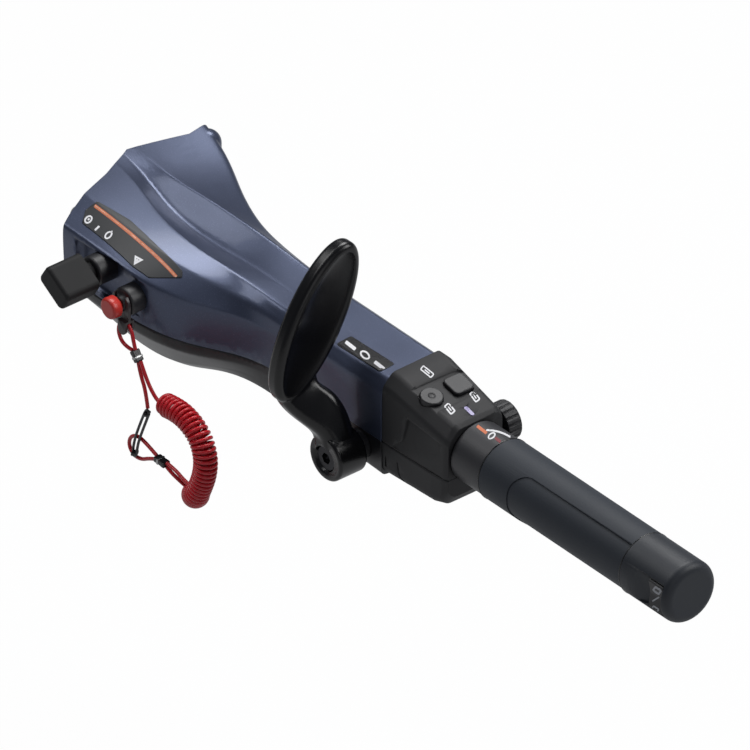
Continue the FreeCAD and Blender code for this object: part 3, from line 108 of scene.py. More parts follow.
class Grain(Enum):
    """How a surface was finished, which decides the pattern of its fine relief."""

    MOULDED = "spark-eroded mould texture"
    STIPPLED = "fine pebbled rubber"
    TURNED = "fine rings from a lathe"
    CAST = "coarse sand-cast skin"
    SMOOTH = "polished mould"


@dataclass(frozen=True)
class Finish:
    """One surface finish: colours, gloss and relief.

    Attributes:
        name: the material's real name.
        colour: main sRGB colour.
        tint: sRGB colour that drifts through the main one.
        roughness: typical roughness.
        ior: index of refraction.
        metallic: one for bare metal.
        coat: strength of a clear layer on top.
        grain: kind of fine relief.
        grain_mm: real size of one grain.
        relief_mm: height of the grain.
        cloud_mm: size of the slow drift in colour and gloss.
        edge_mm: how far the eye sees an edge rounded.
    """

    name: str
    colour: str
    tint: str
    roughness: float
    ior: float = 1.5
    metallic: float = 0.0
    coat: float = 0.0
    grain: Grain = Grain.MOULDED
    grain_mm: float = 0.6
    relief_mm: float = 0.02
    cloud_mm: float = 35.0
    edge_mm: float = 0.5

    def material(self) -> bpy.types.Material:
        """Build the node material once and return it."""
        made = bpy.data.materials.get(self.name)
        if made:
            return made
        made = bpy.data.materials.new(self.name)
        made.use_nodes = True
        tree = made.node_tree
        tree.nodes.clear()
        place = add_node(tree, "TexCoord").outputs["Object"]
        shader = add_node(tree, "BsdfPrincipled", values={
            "IOR": self.ior, "Metallic": self.metallic, "Coat Weight": self.coat, "Coat Roughness": 0.12,
        })
        self.dress(tree, place, shader)
        out = add_node(tree, "OutputMaterial")
        tree.links.new(shader.outputs["BSDF"], out.inputs["Surface"])
        return made

    def dress(self, tree: bpy.types.NodeTree, place: bpy.types.NodeSocket, shader: bpy.types.Node) -> None:
        """Feed colour, roughness and relief into the shader.

        Args:
            tree: the material's nodes.
            place: Object coordinates in metres.
            shader: the Principled node.
        """
        cloud = add_node(tree, "TexNoise", {"Vector": place},
                         {"Scale": 1 / (self.cloud_mm * MM), "Detail": 4.0})
        mix = add_node(tree, "Mix", {"Factor": cloud.outputs["Fac"]}, data_type="RGBA")
        mix.inputs[6].default_value = linear(self.colour)
        mix.inputs[7].default_value = linear(self.tint)
        tree.links.new(mix.outputs[2], shader.inputs["Base Color"])
        gloss = add_node(tree, "MapRange", {"Value": cloud.outputs["Fac"]}, {
            "To Min": max(self.roughness - 0.05, 0.02), "To Max": min(self.roughness + 0.07, 1.0),
        })
        tree.links.new(gloss.outputs["Result"], shader.inputs["Roughness"])
        soft = add_node(tree, "Bevel", values={"Radius": self.edge_mm * MM}, samples=4)
        height = self.grain_height(tree, place)
        bump = add_node(tree, "Bump", {"Height": height, "Normal": soft.outputs["Normal"]},
                        {"Strength": 0.7, "Distance": self.relief_mm * MM})
        tree.links.new(bump.outputs["Normal"], shader.inputs["Normal"])

    def grain_height(self, tree: bpy.types.NodeTree, place: bpy.types.NodeSocket) -> bpy.types.NodeSocket:
        """Build the fine relief.

        Args:
            tree: the material's nodes.
            place: Object coordinates in metres.

        Returns:
            The socket that carries the height, from zero to one.
        """
        scale = 1 / (self.grain_mm * MM)
        if self.grain is Grain.STIPPLED:
            cells = add_node(tree, "TexVoronoi", {"Vector": place}, {"Scale": scale}, feature="SMOOTH_F1")
            return cells.outputs["Distance"]
        if self.grain is Grain.TURNED:
            wave = add_node(tree, "TexWave", {"Vector": place}, {"Scale": scale / 6, "Distortion": 0.4},
                            bands_direction="X")
            return wave.outputs["Fac"]
        detail = 6.0 if self.grain is Grain.CAST else 2.0
        noise = add_node(tree, "TexNoise", {"Vector": place}, {"Scale": scale, "Detail": detail})
        return noise.outputs["Fac"]


@dataclass(frozen=True)
class MetallicPaint(Finish):
    """Slate base coat with fine aluminium flake under clear lacquer: bright where it faces the light."""

    flake_mm: float = 0.35
    flake_colour: str = "6c7390"

    def dress(self, tree: bpy.types.NodeTree, place: bpy.types.NodeSocket, shader: bpy.types.Node) -> None:
        """Feed the base coat, flake and lacquer into the shader."""
        super().dress(tree, place, shader)
        base = shader.inputs["Base Color"].links[0].from_socket
        flake = add_node(tree, "TexVoronoi", {"Vector": place}, {"Scale": 1 / (self.flake_mm * MM)})
        sparkle = add_node(tree, "MapRange", {"Value": flake.outputs["Color"]},
                           {"From Min": 0.78, "To Max": 0.55})
        mix = add_node(tree, "Mix", {"Factor": sparkle.outputs["Result"]}, data_type="RGBA")
        tree.links.new(base, mix.inputs[6])
        mix.inputs[7].default_value = linear(self.flake_colour)
        tree.links.new(mix.outputs[2], shader.inputs["Base Color"])


# Painted ABS: a satin metallic coat, so broad soft highlights over a dark slate body
SLATE_PAINT = MetallicPaint("metallic slate lacquer on ABS", "434a5f", "4c546a", 0.36, 1.5, 0.62, 0.2,
                            Grain.SMOOTH, 0.8, 0.01)
# Moulded glass-filled nylon: black with a soft sheen that shows its rounded edges
BLACK_NYLON = Finish("moulded black nylon", "121216", "18181d", 0.36, 1.53, grain_mm=0.5, relief_mm=0.02)
# The painted lever: satin black coat on an aluminium casting
LEVER_COAT = Finish("satin black coat on cast aluminium", "08080a", "0c0c0f", 0.24, 1.45,
                    grain=Grain.SMOOTH, grain_mm=1.2, relief_mm=0.01, edge_mm=0.8)
# Moulded rubber: matt, very dark blue-grey, with a pebbled skin
GRIP_RUBBER = Finish("moulded nitrile rubber", "20262e", "262c35", 0.6, 1.5, grain=Grain.STIPPLED,
                     grain_mm=0.9, relief_mm=0.05, edge_mm=0.6)
GRIP_NYLON = Finish("moulded blue-black nylon", "1c2128", "21262e", 0.5, 1.5, grain_mm=0.7, relief_mm=0.03)
GLOSS_BLACK = Finish("polished black ABS", "0a0a0c", "0e0e11", 0.26, 1.53, grain=Grain.SMOOTH, relief_mm=0.01)
SATIN_BLACK = Finish("satin black ABS", "151518", "1b1b1f", 0.48, 1.53, relief_mm=0.015)
CONSOLE_BLACK = Finish("spark-eroded black ABS", "111114", "17171a", 0.62, 1.53, relief_mm=0.03)
KNOB_BLACK = Finish("matt black nylon", "08080a", "0c0c0e", 0.66, 1.45, grain_mm=0.5, relief_mm=0.03)
COLLAR_SATIN = Finish("satin charcoal nylon", "28282b", "2e2e32", 0.46, 1.53, relief_mm=0.02)
CHARCOAL_FILM = Finish("screen-printed charcoal film", "1e2023", "232528", 0.42, 1.5, grain=Grain.SMOOTH)
WHITE_INK = Finish("white screen ink", "e6e6e8", "d8d8dc", 0.5, 1.5, relief_mm=0.005, edge_mm=0.05)
GREY_INK = Finish("grey screen ink", "b4b6ba", "a8aaae", 0.5, 1.5, relief_mm=0.005, edge_mm=0.05)
ORANGE_INK = Finish("orange screen ink", "d5764a", "c96a42", 0.5, 1.5, relief_mm=0.005, edge_mm=0.05)
# Pale orange: a painted highlight along the crest of the panel's orange stripe, not printed ink
PAINTED_HIGHLIGHT_ORANGE = Finish("pale orange painted highlight", "e8b59c", "e0a88c", 0.5, 1.5, relief_mm=0.005, edge_mm=0.05)
RED_INK = Finish("dark red screen ink", "7a1c26", "6a1620", 0.5, 1.5, relief_mm=0.005, edge_mm=0.05)
LILAC_PLASTIC = Finish("pale lilac ABS", "a49cc4", "9a92ba", 0.35, 1.53, edge_mm=0.2)
STOP_RED = Finish("moulded red ABS", "c9372e", "b92f28", 0.36, 1.53, grain_mm=0.5, relief_mm=0.03)
CLIP_RED = Finish("moulded dark acetal", "3a3234", "2e2829", 0.35, 1.48)
CORD_RED = Finish("red polyurethane cord", "d8202c", "c41a26", 0.3, 1.5, grain_mm=0.4, relief_mm=0.03,
                  cloud_mm=9.0, edge_mm=0.1)
SLEEVE_BLACK = Finish("crimped black vinyl sleeve", "1a1719", "231d20", 0.36, 1.52, grain_mm=0.5,
                      relief_mm=0.02, edge_mm=0.2)
WIRE_BLACK = Finish("black nylon-coated wire", "141416", "1b1b1e", 0.28, 1.53, edge_mm=0.1)
CAST_ALUMINIUM = Finish("sand-cast aluminium", "a7a8aa", "9a9b9e", 0.5, 1.5, 1.0, grain=Grain.CAST,
                        grain_mm=1.5, relief_mm=0.12)
DRAWN_ALUMINIUM = Finish("drawn aluminium", "b8b9bc", "aeb0b3", 0.32, 1.5, 1.0, grain=Grain.TURNED)
ZINC_STEEL = Finish("zinc-plated steel", "a9aaab", "9b9b98", 0.3, 1.5, 1.0, grain=Grain.TURNED, edge_mm=0.2)
# Near-black steel for the lever's bolt: painted shade of the counterbore that it sits in
COUNTERBORE_SHADE_STEEL = Finish("steel darkened as counterbore shade", "2a2a2d", "343437", 0.33, 1.5, 1.0, grain=Grain.TURNED,
                       edge_mm=0.2)
TURNED_STEEL = Finish("turned steel", "8f8f92", "838387", 0.3, 1.5, 1.0, grain=Grain.TURNED)
BARE_BRASS = Finish("bare brass", "b8914c", "a88243", 0.3, 1.5, 1.0, grain=Grain.TURNED)
ACETAL = Finish("natural acetal", "dcd7c9", "d3cdbe", 0.4, 1.48)
LINING = Finish("friction lining", "5b4f41", "50463a", 0.8, 1.5, grain=Grain.CAST, relief_mm=0.08)


def deselect() -> None:
    """Leave object mode with nothing selected."""
    if bpy.context.object and bpy.context.object.mode != "OBJECT":
        bpy.ops.object.mode_set(mode="OBJECT")
    bpy.ops.object.select_all(action="DESELECT")


def choose(piece: bpy.types.Object) -> None:
    """Make one object the only selected and active one."""
    deselect()
    piece.select_set(True)
    bpy.context.view_layer.objects.active = piece


def settle(piece: bpy.types.Object) -> None:
    """Put an object's place, turn and scale into its mesh."""
    choose(piece)
    bpy.ops.object.transform_apply(location=True, rotation=True, scale=True)


def add_modifier(piece: bpy.types.Object, kind: str, **settings) -> None:
    """Add a modifier with its settings and apply it."""
    choose(piece)
    modifier = piece.modifiers.new(kind.title(), kind)
    for name, value in settings.items():
        setattr(modifier, name, value)
    bpy.ops.object.modifier_apply(modifier=modifier.name)


def smooth(piece: bpy.types.Object, angle: float = 32.0) -> None:
    """Shade smooth up to an angle in degrees."""
    choose(piece)
    bpy.ops.object.shade_smooth_by_angle(angle=math.radians(angle))


def hand_over(piece: bpy.types.Object, name: str, finish: Finish, body: str,
              nodes: tuple[str, ...] = ()) -> bpy.types.Object:
    """Name a finished piece, give it its finish and put it on its body.

    Args:
        piece: the object, settled at the origin.
        name: its name in the scene.
        finish: its surface finish.
        body: the body that it rides on.
        nodes: CAD nodes that it stands for.

    Returns:
        The same object.
    """
    piece.name = name
    piece.data.name = name
    piece.data.materials.clear()
    piece.data.materials.append(finish.material())
    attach(piece, body)
    if nodes:
        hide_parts(*nodes)
    log.info("%s rides on %s", name, body)
    return piece


@dataclass
class Carried:
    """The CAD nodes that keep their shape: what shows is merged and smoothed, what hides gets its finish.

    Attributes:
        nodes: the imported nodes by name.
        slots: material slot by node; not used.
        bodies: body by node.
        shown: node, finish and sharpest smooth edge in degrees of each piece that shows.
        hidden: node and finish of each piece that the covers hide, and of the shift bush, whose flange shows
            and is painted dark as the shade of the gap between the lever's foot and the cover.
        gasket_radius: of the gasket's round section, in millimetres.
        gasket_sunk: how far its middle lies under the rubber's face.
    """

    nodes: dict[str, bpy.types.Object]
    slots: dict[str, str]
    bodies: dict[str, str]
    shown: tuple[tuple[str, Finish, float], ...] = (
        ("upper_cover", SLATE_PAINT, 28.0),
        ("lower_cover", BLACK_NYLON, 28.0),
        ("icon_panel", CHARCOAL_FILM, 30.0),
        ("gear_label", GLOSS_BLACK, 30.0),
        ("switch_console", CONSOLE_BLACK, 24.0),
        ("service_cover", CONSOLE_BLACK, 24.0),
        ("round_button", SATIN_BLACK, 30.0),
        ("square_button", SATIN_BLACK, 30.0),
        ("throttle_pointer", LILAC_PLASTIC, 30.0),
        ("friction_knob", SATIN_BLACK, 30.0),
        ("key_switch_body", SATIN_BLACK, 30.0),
        ("key_knob", KNOB_BLACK, 30.0),
        ("stop_switch_body", SATIN_BLACK, 30.0),
        ("stop_button", STOP_RED, 30.0),
        ("lanyard_clip", CLIP_RED, 30.0),
        ("throttle_collar", COLLAR_SATIN, 30.0),
        ("rubber_grip", GRIP_RUBBER, 30.0),
        ("grip_end", GRIP_NYLON, 30.0),
        ("thumb_rocker", SATIN_BLACK, 30.0),
        ("shift_lever", LEVER_COAT, 30.0),
        # the lever bolt's near-black steel is painted shade of its counterbore
        ("lever_bolt", COUNTERBORE_SHADE_STEEL, 30.0),
        ("tiller_arm", CAST_ALUMINIUM, 30.0),
        ("pivot_bushes", ACETAL, 30.0),
        ("cover_screws", ZINC_STEEL, 30.0),
        ("console_screws", ZINC_STEEL, 30.0),
    )
    hidden: tuple[tuple[str, Finish], ...] = (
        ("switch_block", SATIN_BLACK), ("friction_shoe", LINING), ("key_switch_nut", BARE_BRASS),
        ("stop_switch_nut", BARE_BRASS), ("grip_tube", DRAWN_ALUMINIUM), ("shaft_bushes", ACETAL),
        ("throttle_shaft", TURNED_STEEL), ("throttle_drum", SATIN_BLACK), ("throttle_sleeve", SATIN_BLACK),
        # shift_bush is satin black rather than acetal as painted shade: its flange shows where a dark gap
        # lies between the lever's foot and the cover
        ("rocker_pin", TURNED_STEEL), ("shift_shaft", TURNED_STEEL), ("shift_bush", SATIN_BLACK),
        ("shift_crank", ZINC_STEEL), ("shift_link", ZINC_STEEL),
    )
    gasket_radius: float = 0.45
    gasket_sunk: float = 0.2

    def build(self) -> None:
        """Merge and dress the pieces that show, and dress the others."""
        for node, finish, angle in self.shown:
            self.merged(node, finish, angle)
        for node, finish in self.hidden:
            mesh = self.nodes[node].data
            mesh.materials.clear()
            mesh.materials.append(finish.material())
        self.seams()

    def seams(self) -> None:
        """Lay a thin dark gasket round each end of the rubber."""
        low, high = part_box("rubber_grip")
        for name, x in (("collar_seam", low[0]), ("grip_end_seam", high[0])):
            deselect()
            bpy.ops.mesh.primitive_torus_add(
                major_segments=120, minor_segments=14, minor_radius=self.gasket_radius * MM,
                major_radius=(high[2] - low[2]) / 2 - self.gasket_sunk * MM,
                location=(x, 0, (low[2] + high[2]) / 2), rotation=(0, math.pi / 2, 0))
            piece = bpy.context.object
            settle(piece)
            smooth(piece, 60)
            hand_over(piece, name, GLOSS_BLACK, self.bodies["rubber_grip"])

    def merged(self, node: str, finish: Finish, angle: float) -> bpy.types.Object:
        """Copy a node, merge its loose triangles and shade it smooth.

        Args:
            node: the CAD node.
            finish: its surface finish.
            angle: the sharpest turn in degrees that is still shaded smooth.

        Returns:
            The piece that stands for the node.
        """
        source = self.nodes[node]
        piece = bpy.data.objects.new(node + "_skin", source.data.copy())
        bpy.context.scene.collection.objects.link(piece)
        choose(piece)
        bpy.ops.object.mode_set(mode="EDIT")
        bpy.ops.mesh.select_all(action="SELECT")
        bpy.ops.mesh.remove_doubles(threshold=0.002 * MM)
        bpy.ops.object.mode_set(mode="OBJECT")
        smooth(piece, angle)
        add_modifier(piece, "WEIGHTED_NORMAL", keep_sharp=True)
        return hand_over(piece, node + "_skin", finish, self.bodies[node], (node,))


@dataclass
class Lanyard:
    """The lanyard's cords, coil, sleeves and wire hook, in their own upright plane.

    Attributes:
        plane_y: where the plane stands, in millimetres.
        diameter: of the cord.
        coil_radius: of the turns' centreline.
        end_growth: share by which the last fifth of the coil widens.
        pitch: along the coil, from turn to turn.
        steps_per_turn: control points in one turn.
        opening: how fast the first and last turn reach their full size.
        eye_length: real length of the eye cord, and so on for the others; these lengths are not used.
        sleeve_across: width of a crimped sleeve over both strands.
        sleeve_deep: its depth.
        band_size: of the steel band on a sleeve.
        wire_diameter: of the hook.
        hook_gap: from the hook's middle line to each of its arms.
        hook_bend: how far each end's bend reaches past the arms.
        eye: control points of the eye cord, across and up in the lanyard's plane, and so on for the others;
            a third number stands off the plane.
    """

    plane_y: float = -80.4
    diameter: float = 2.5
    coil_radius: float = 6.7
    end_growth: float = 0.22
    pitch: float = 3.05
    steps_per_turn: int = 16
    opening: float = 1.3
    eye_length: float = 50.5
    upper_back_length: float = 32.3
    tether_length: float = 31.1
    lower_eye_length: float = 68.0
    sleeve_across: float = 5.8
    sleeve_deep: float = 3.6
    band_size: tuple[float, float, float] = (6.1, 3.9, 1.6)
    wire_diameter: float = 1.8
    eye: tuple = ((117.425, -4.396), (112.5, -5.0), (105.5, -3.0), (102.6, 4.0), (105.2, 11.0), (111.5, 13.6),
                  (116.2, 9.0), (117.6, 3.0), (119.575, -2.604))
    lead: tuple = ((124.575, -8.604), (129.0, -17.0), (135.0, -25.0), (141.5, -30.0))
    coil: tuple = ((147.0, -29.0), (160.0, -26.5), (173.5, -29.0), (184.0, -36.5), (188.5, -48.5),
                   (187.0, -61.5), (182.5, -73.0))
    coil_end: tuple = ((179.0, -79.0, 0.8), (175.0, -83.0, 3.0), (171.5, -86.3, 5.6), (167.5, -89.0, 8.3))
    back: tuple = ((163.5, -89.0, 8.8), (160.0, -84.8, 5.5), (156.5, -79.6, 2.0), (153.0, -76.2, 0.2),
                   (149.916, -74.397, 0.0))
    upper_back: tuple = ((181.5, -74.5), (174.0, -76.8), (166.0, -75.4), (158.0, -72.2), (150.084, -71.603))
    hook_spine: tuple = ((133.2, -41.5), (128.4, -53.0), (124.0, -64.0), (121.6, -72.0), (120.6, -79.0))
    hook_gap: float = 1.8
    hook_bend: float = 2.2
    tether: tuple = ((122.425, -10.396), (124.5, -18.5), (129.5, -28.0), (131.5, -40.0))
    lower_eye: tuple = ((140.084, -71.003), (131.0, -67.5), (122.0, -65.5), (114.5, -69.5), (112.5, -77.0),
                        (117.5, -82.5), (125.5, -81.5), (132.5, -77.0), (139.916, -73.797))

    def point(self, x: float, z: float, y: float = 0.0) -> Vector:
        """A point of the lanyard's plane, y millimetres off it, in metres."""
        return Vector((x, self.plane_y + y, z)) * MM

    def spline(self, name: str, points: list[Vector], diameter: float) -> bpy.types.Object:
        """Make a smooth cord through control points.

        Args:
            name: the curve's name.
            points: its control points in metres.
            diameter: in millimetres, zero for a bare line.

        Returns:
            The curve object.
        """
        curve = bpy.data.curves.new(name, "CURVE")
        curve.dimensions = "3D"
        curve.bevel_depth = diameter / 2 * MM
        curve.bevel_resolution = 5
        curve.use_fill_caps = True
        curve.resolution_u = 6
        line = curve.splines.new("NURBS")
        line.points.add(len(points) - 1)
        for place, point in zip(line.points, points):
            place.co = (*point, 1.0)
        line.order_u = 3
        line.use_endpoint_u = True
        made = bpy.data.objects.new(name, curve)
        bpy.context.scene.collection.objects.link(made)
        return made

    def coil_line(self) -> list[Vector]:
        """Read the coil's centreline from its route's own spline."""
        route = self.spline("coil_route", [self.point(*place) for place in self.coil + self.coil_end], 0.0)
        route.data.resolution_u = 24
        bpy.context.view_layer.update()
        mesh = bpy.data.meshes.new_from_object(route)
        points = [vertex.co.copy() for vertex in mesh.vertices]
        bpy.data.objects.remove(route)
        bpy.data.meshes.remove(mesh)
        return points

    def helix(self) -> list[Vector]:
        """Work out the coil's turns round its centreline.

        Returns:
            The turns' control points, opening from the lead and closing on the return.
        """
        line = self.coil_line()
        reach = [0.0]
        for before, after in zip(line, line[1:]):
            reach.append(reach[-1] + (after - before).length)
        turns = int(reach[-1] / (self.pitch * MM))
        count = turns * self.steps_per_turn
        points = []
        side = (line[1] - line[0]).cross(Vector((0, 1, 0)))
        for step in range(count + 1):
            share = step / count
            along = share * reach[-1]
            place = max(1, next((i for i, value in enumerate(reach) if value >= along), len(line) - 1))
            rest = (along - reach[place - 1]) / (reach[place] - reach[place - 1])
            centre = line[place - 1].lerp(line[place], rest)
            ahead = (line[place] - line[place - 1]).normalized()
            side = (side - ahead * side.dot(ahead)).normalized()
            angle = 2 * math.pi * step / self.steps_per_turn
            open_share = min(1.0, step / self.steps_per_turn * self.opening,
                             (count - step) / self.steps_per_turn * self.opening)
            wider = 1 + self.end_growth * max(0.0, (share - 0.8) / 0.2)
            radius = self.coil_radius * MM * open_share * wider
            points.append(centre + side * (radius * math.cos(angle))
                          + side.cross(ahead) * (radius * math.sin(angle)))
        return points

    def cord(self, name: str, points: list[Vector], nodes: tuple[str, ...]) -> None:
        """Args:
            name: the cord's name.
            points: its control points in metres.
            nodes: the CAD nodes that it stands for.
        """
        made = self.spline(name, points, self.diameter)
        made.data.materials.append(CORD_RED.material())
        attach(made, "lanyard")
        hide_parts(*nodes)

    def sleeve(self, name: str, start: tuple[float, float], end: tuple[float, float]) -> None:
        """Make a crimped sleeve round two strands, with a pressed waist and a steel band.

        Args:
            name: the sleeve's name.
            start: the middle of its first face, across and up in millimetres.
            end: the middle of its last face.
        """
        along = self.point(*end) - self.point(*start)
        deselect()
        bpy.ops.mesh.primitive_cube_add(size=1.0)
        piece = bpy.context.object
        piece.scale = (self.sleeve_across * MM, self.sleeve_deep * MM, along.length)
        settle(piece)
        choose(piece)
        bpy.ops.object.mode_set(mode="EDIT")
        bpy.ops.mesh.select_all(action="SELECT")
        bpy.ops.mesh.subdivide(number_cuts=6)
        bpy.ops.object.mode_set(mode="OBJECT")
        for vertex in piece.data.vertices:
            share = abs(2 * vertex.co.z / along.length)
            press = 0.94 if share < 0.3 else 0.97 if share < 0.6 else 1.0 if share < 0.99 else 0.95
            vertex.co.x *= press
            vertex.co.y *= press
        add_modifier(piece, "BEVEL", width=0.5 * MM, segments=3, limit_method="ANGLE",
                     angle_limit=math.radians(60))
        piece.location = (self.point(*start) + self.point(*end)) / 2
        piece.rotation_euler = along.to_track_quat("Z", "Y").to_euler()
        settle(piece)
        smooth(piece)
        hand_over(piece, name, SLEEVE_BLACK, "lanyard")
        deselect()
        bpy.ops.mesh.primitive_cube_add(size=1.0)
        band = bpy.context.object
        band.scale = [side * MM for side in self.band_size]
        settle(band)
        add_modifier(band, "BEVEL", width=0.3 * MM, segments=3, limit_method="ANGLE")
        band.location = self.point(*start).lerp(self.point(*end), 0.62)
        band.rotation_euler = along.to_track_quat("Z", "Y").to_euler()
        settle(band)
        smooth(band)
        hand_over(band, name + "_band", ZINC_STEEL, "lanyard")

    def hook(self) -> None:
        """Bend the wire hook: two arms side by side from the tether's loop, closed round the lower eye."""
        spine = [Vector(place) for place in self.hook_spine]
        arms = ([], [])
        for place, centre in enumerate(spine):
            along = (spine[min(place + 1, len(spine) - 1)] - spine[max(place - 1, 0)]).normalized()
            side = Vector((-along.y, along.x)) * self.hook_gap
            for arm, way in zip(arms, (1, -1)):
                arm.append(self.point(*(centre + side * way), -self.hook_gap))
        above = spine[0] + (spine[0] - spine[1]).normalized() * self.hook_bend
        below = spine[-1] + (spine[-1] - spine[-2]).normalized() * self.hook_bend
        head, foot = self.point(*above, -self.hook_gap), self.point(*below, -self.hook_gap)
        loop = arms[0] + [foot] + arms[1][::-1] + [head, arms[0][0], arms[0][1]]
        wire = self.spline("hook_wire", loop, self.wire_diameter)
        choose(wire)
        bpy.ops.object.convert(target="MESH")
        smooth(wire, 60)
        hand_over(wire, "wire_hook", WIRE_BLACK, "lanyard", ("snap_hook",))
        ends = (("hook_crimp_top", spine[0], spine[1]), ("hook_crimp_low", spine[-1], spine[-2]))
        for name, low, high in ends:
            deselect()
            bpy.ops.mesh.primitive_cylinder_add(vertices=40, radius=1.4 * MM, depth=2.4 * MM)
            collar = bpy.context.object
            collar.scale = (2.1, 1.15, 1.0)
            settle(collar)
            add_modifier(collar, "BEVEL", width=0.4 * MM, segments=3, limit_method="ANGLE")
            collar.location = self.point(*low.lerp(high, 0.12), -self.hook_gap)
            collar.rotation_euler = (self.point(*high) - self.point(*low)).to_track_quat("Z", "Y").to_euler()
            settle(collar)
            smooth(collar)
            hand_over(collar, name, WIRE_BLACK, "lanyard")

    def build(self) -> None:
        """Make the cords, then the sleeves and the hook."""
        flat = {name: [self.point(*place) for place in getattr(self, name)]
                for name in ("eye", "lead", "back", "upper_back", "tether", "lower_eye")}
        self.cord("eye_cord_strand", flat["eye"], ("eye_cord",))
        whole = flat["lead"] + self.helix() + flat["back"]
        self.cord("coiled_cord", whole, ("lead_cord", "lanyard_coil", "return_cord"))
        self.sleeve("upper_sleeve", (118.5, -3.5), (123.5, -9.5))
        self.sleeve("lower_sleeve", (150.0, -73.0), (140.0, -72.4))
        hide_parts("ferrules")
        self.hook()
        self.cord("upper_return_strand", flat["upper_back"],
                  ("upper_return_cord",))
        self.cord("tether_strand", flat["tether"], ("tether_cord",))
        self.cord("lower_eye_strand", flat["lower_eye"],
                  ("lower_eye_cord",))


@dataclass(frozen=True)
class Mark:
    """One printed mark, laid out in the photograph's plane and pressed onto the piece that carries it.

    Attributes:
        name: the mark's name.
        node: the CAD node that carries it.
        finish: its ink.
        corners: of its outline: 3, 4 or many.
        place: its middle in pixels, right and down.
        size: its length and width in pixels.
        turn: of its length in degrees, clockwise from the right.
        line: width of an outline in pixels, zero for a filled mark.
        bow: how far its middle is bent out of line, in pixels.
        reach_mm: how much nearer or farther than its middle the ink may lie.
    """

    name: str
    node: str
    finish: Finish
    corners: int
    place: tuple[float, float]
    size: tuple[float, float]
    turn: float
    line: float = 0.0
    bow: float = 0.0
    reach_mm: float = 5.0


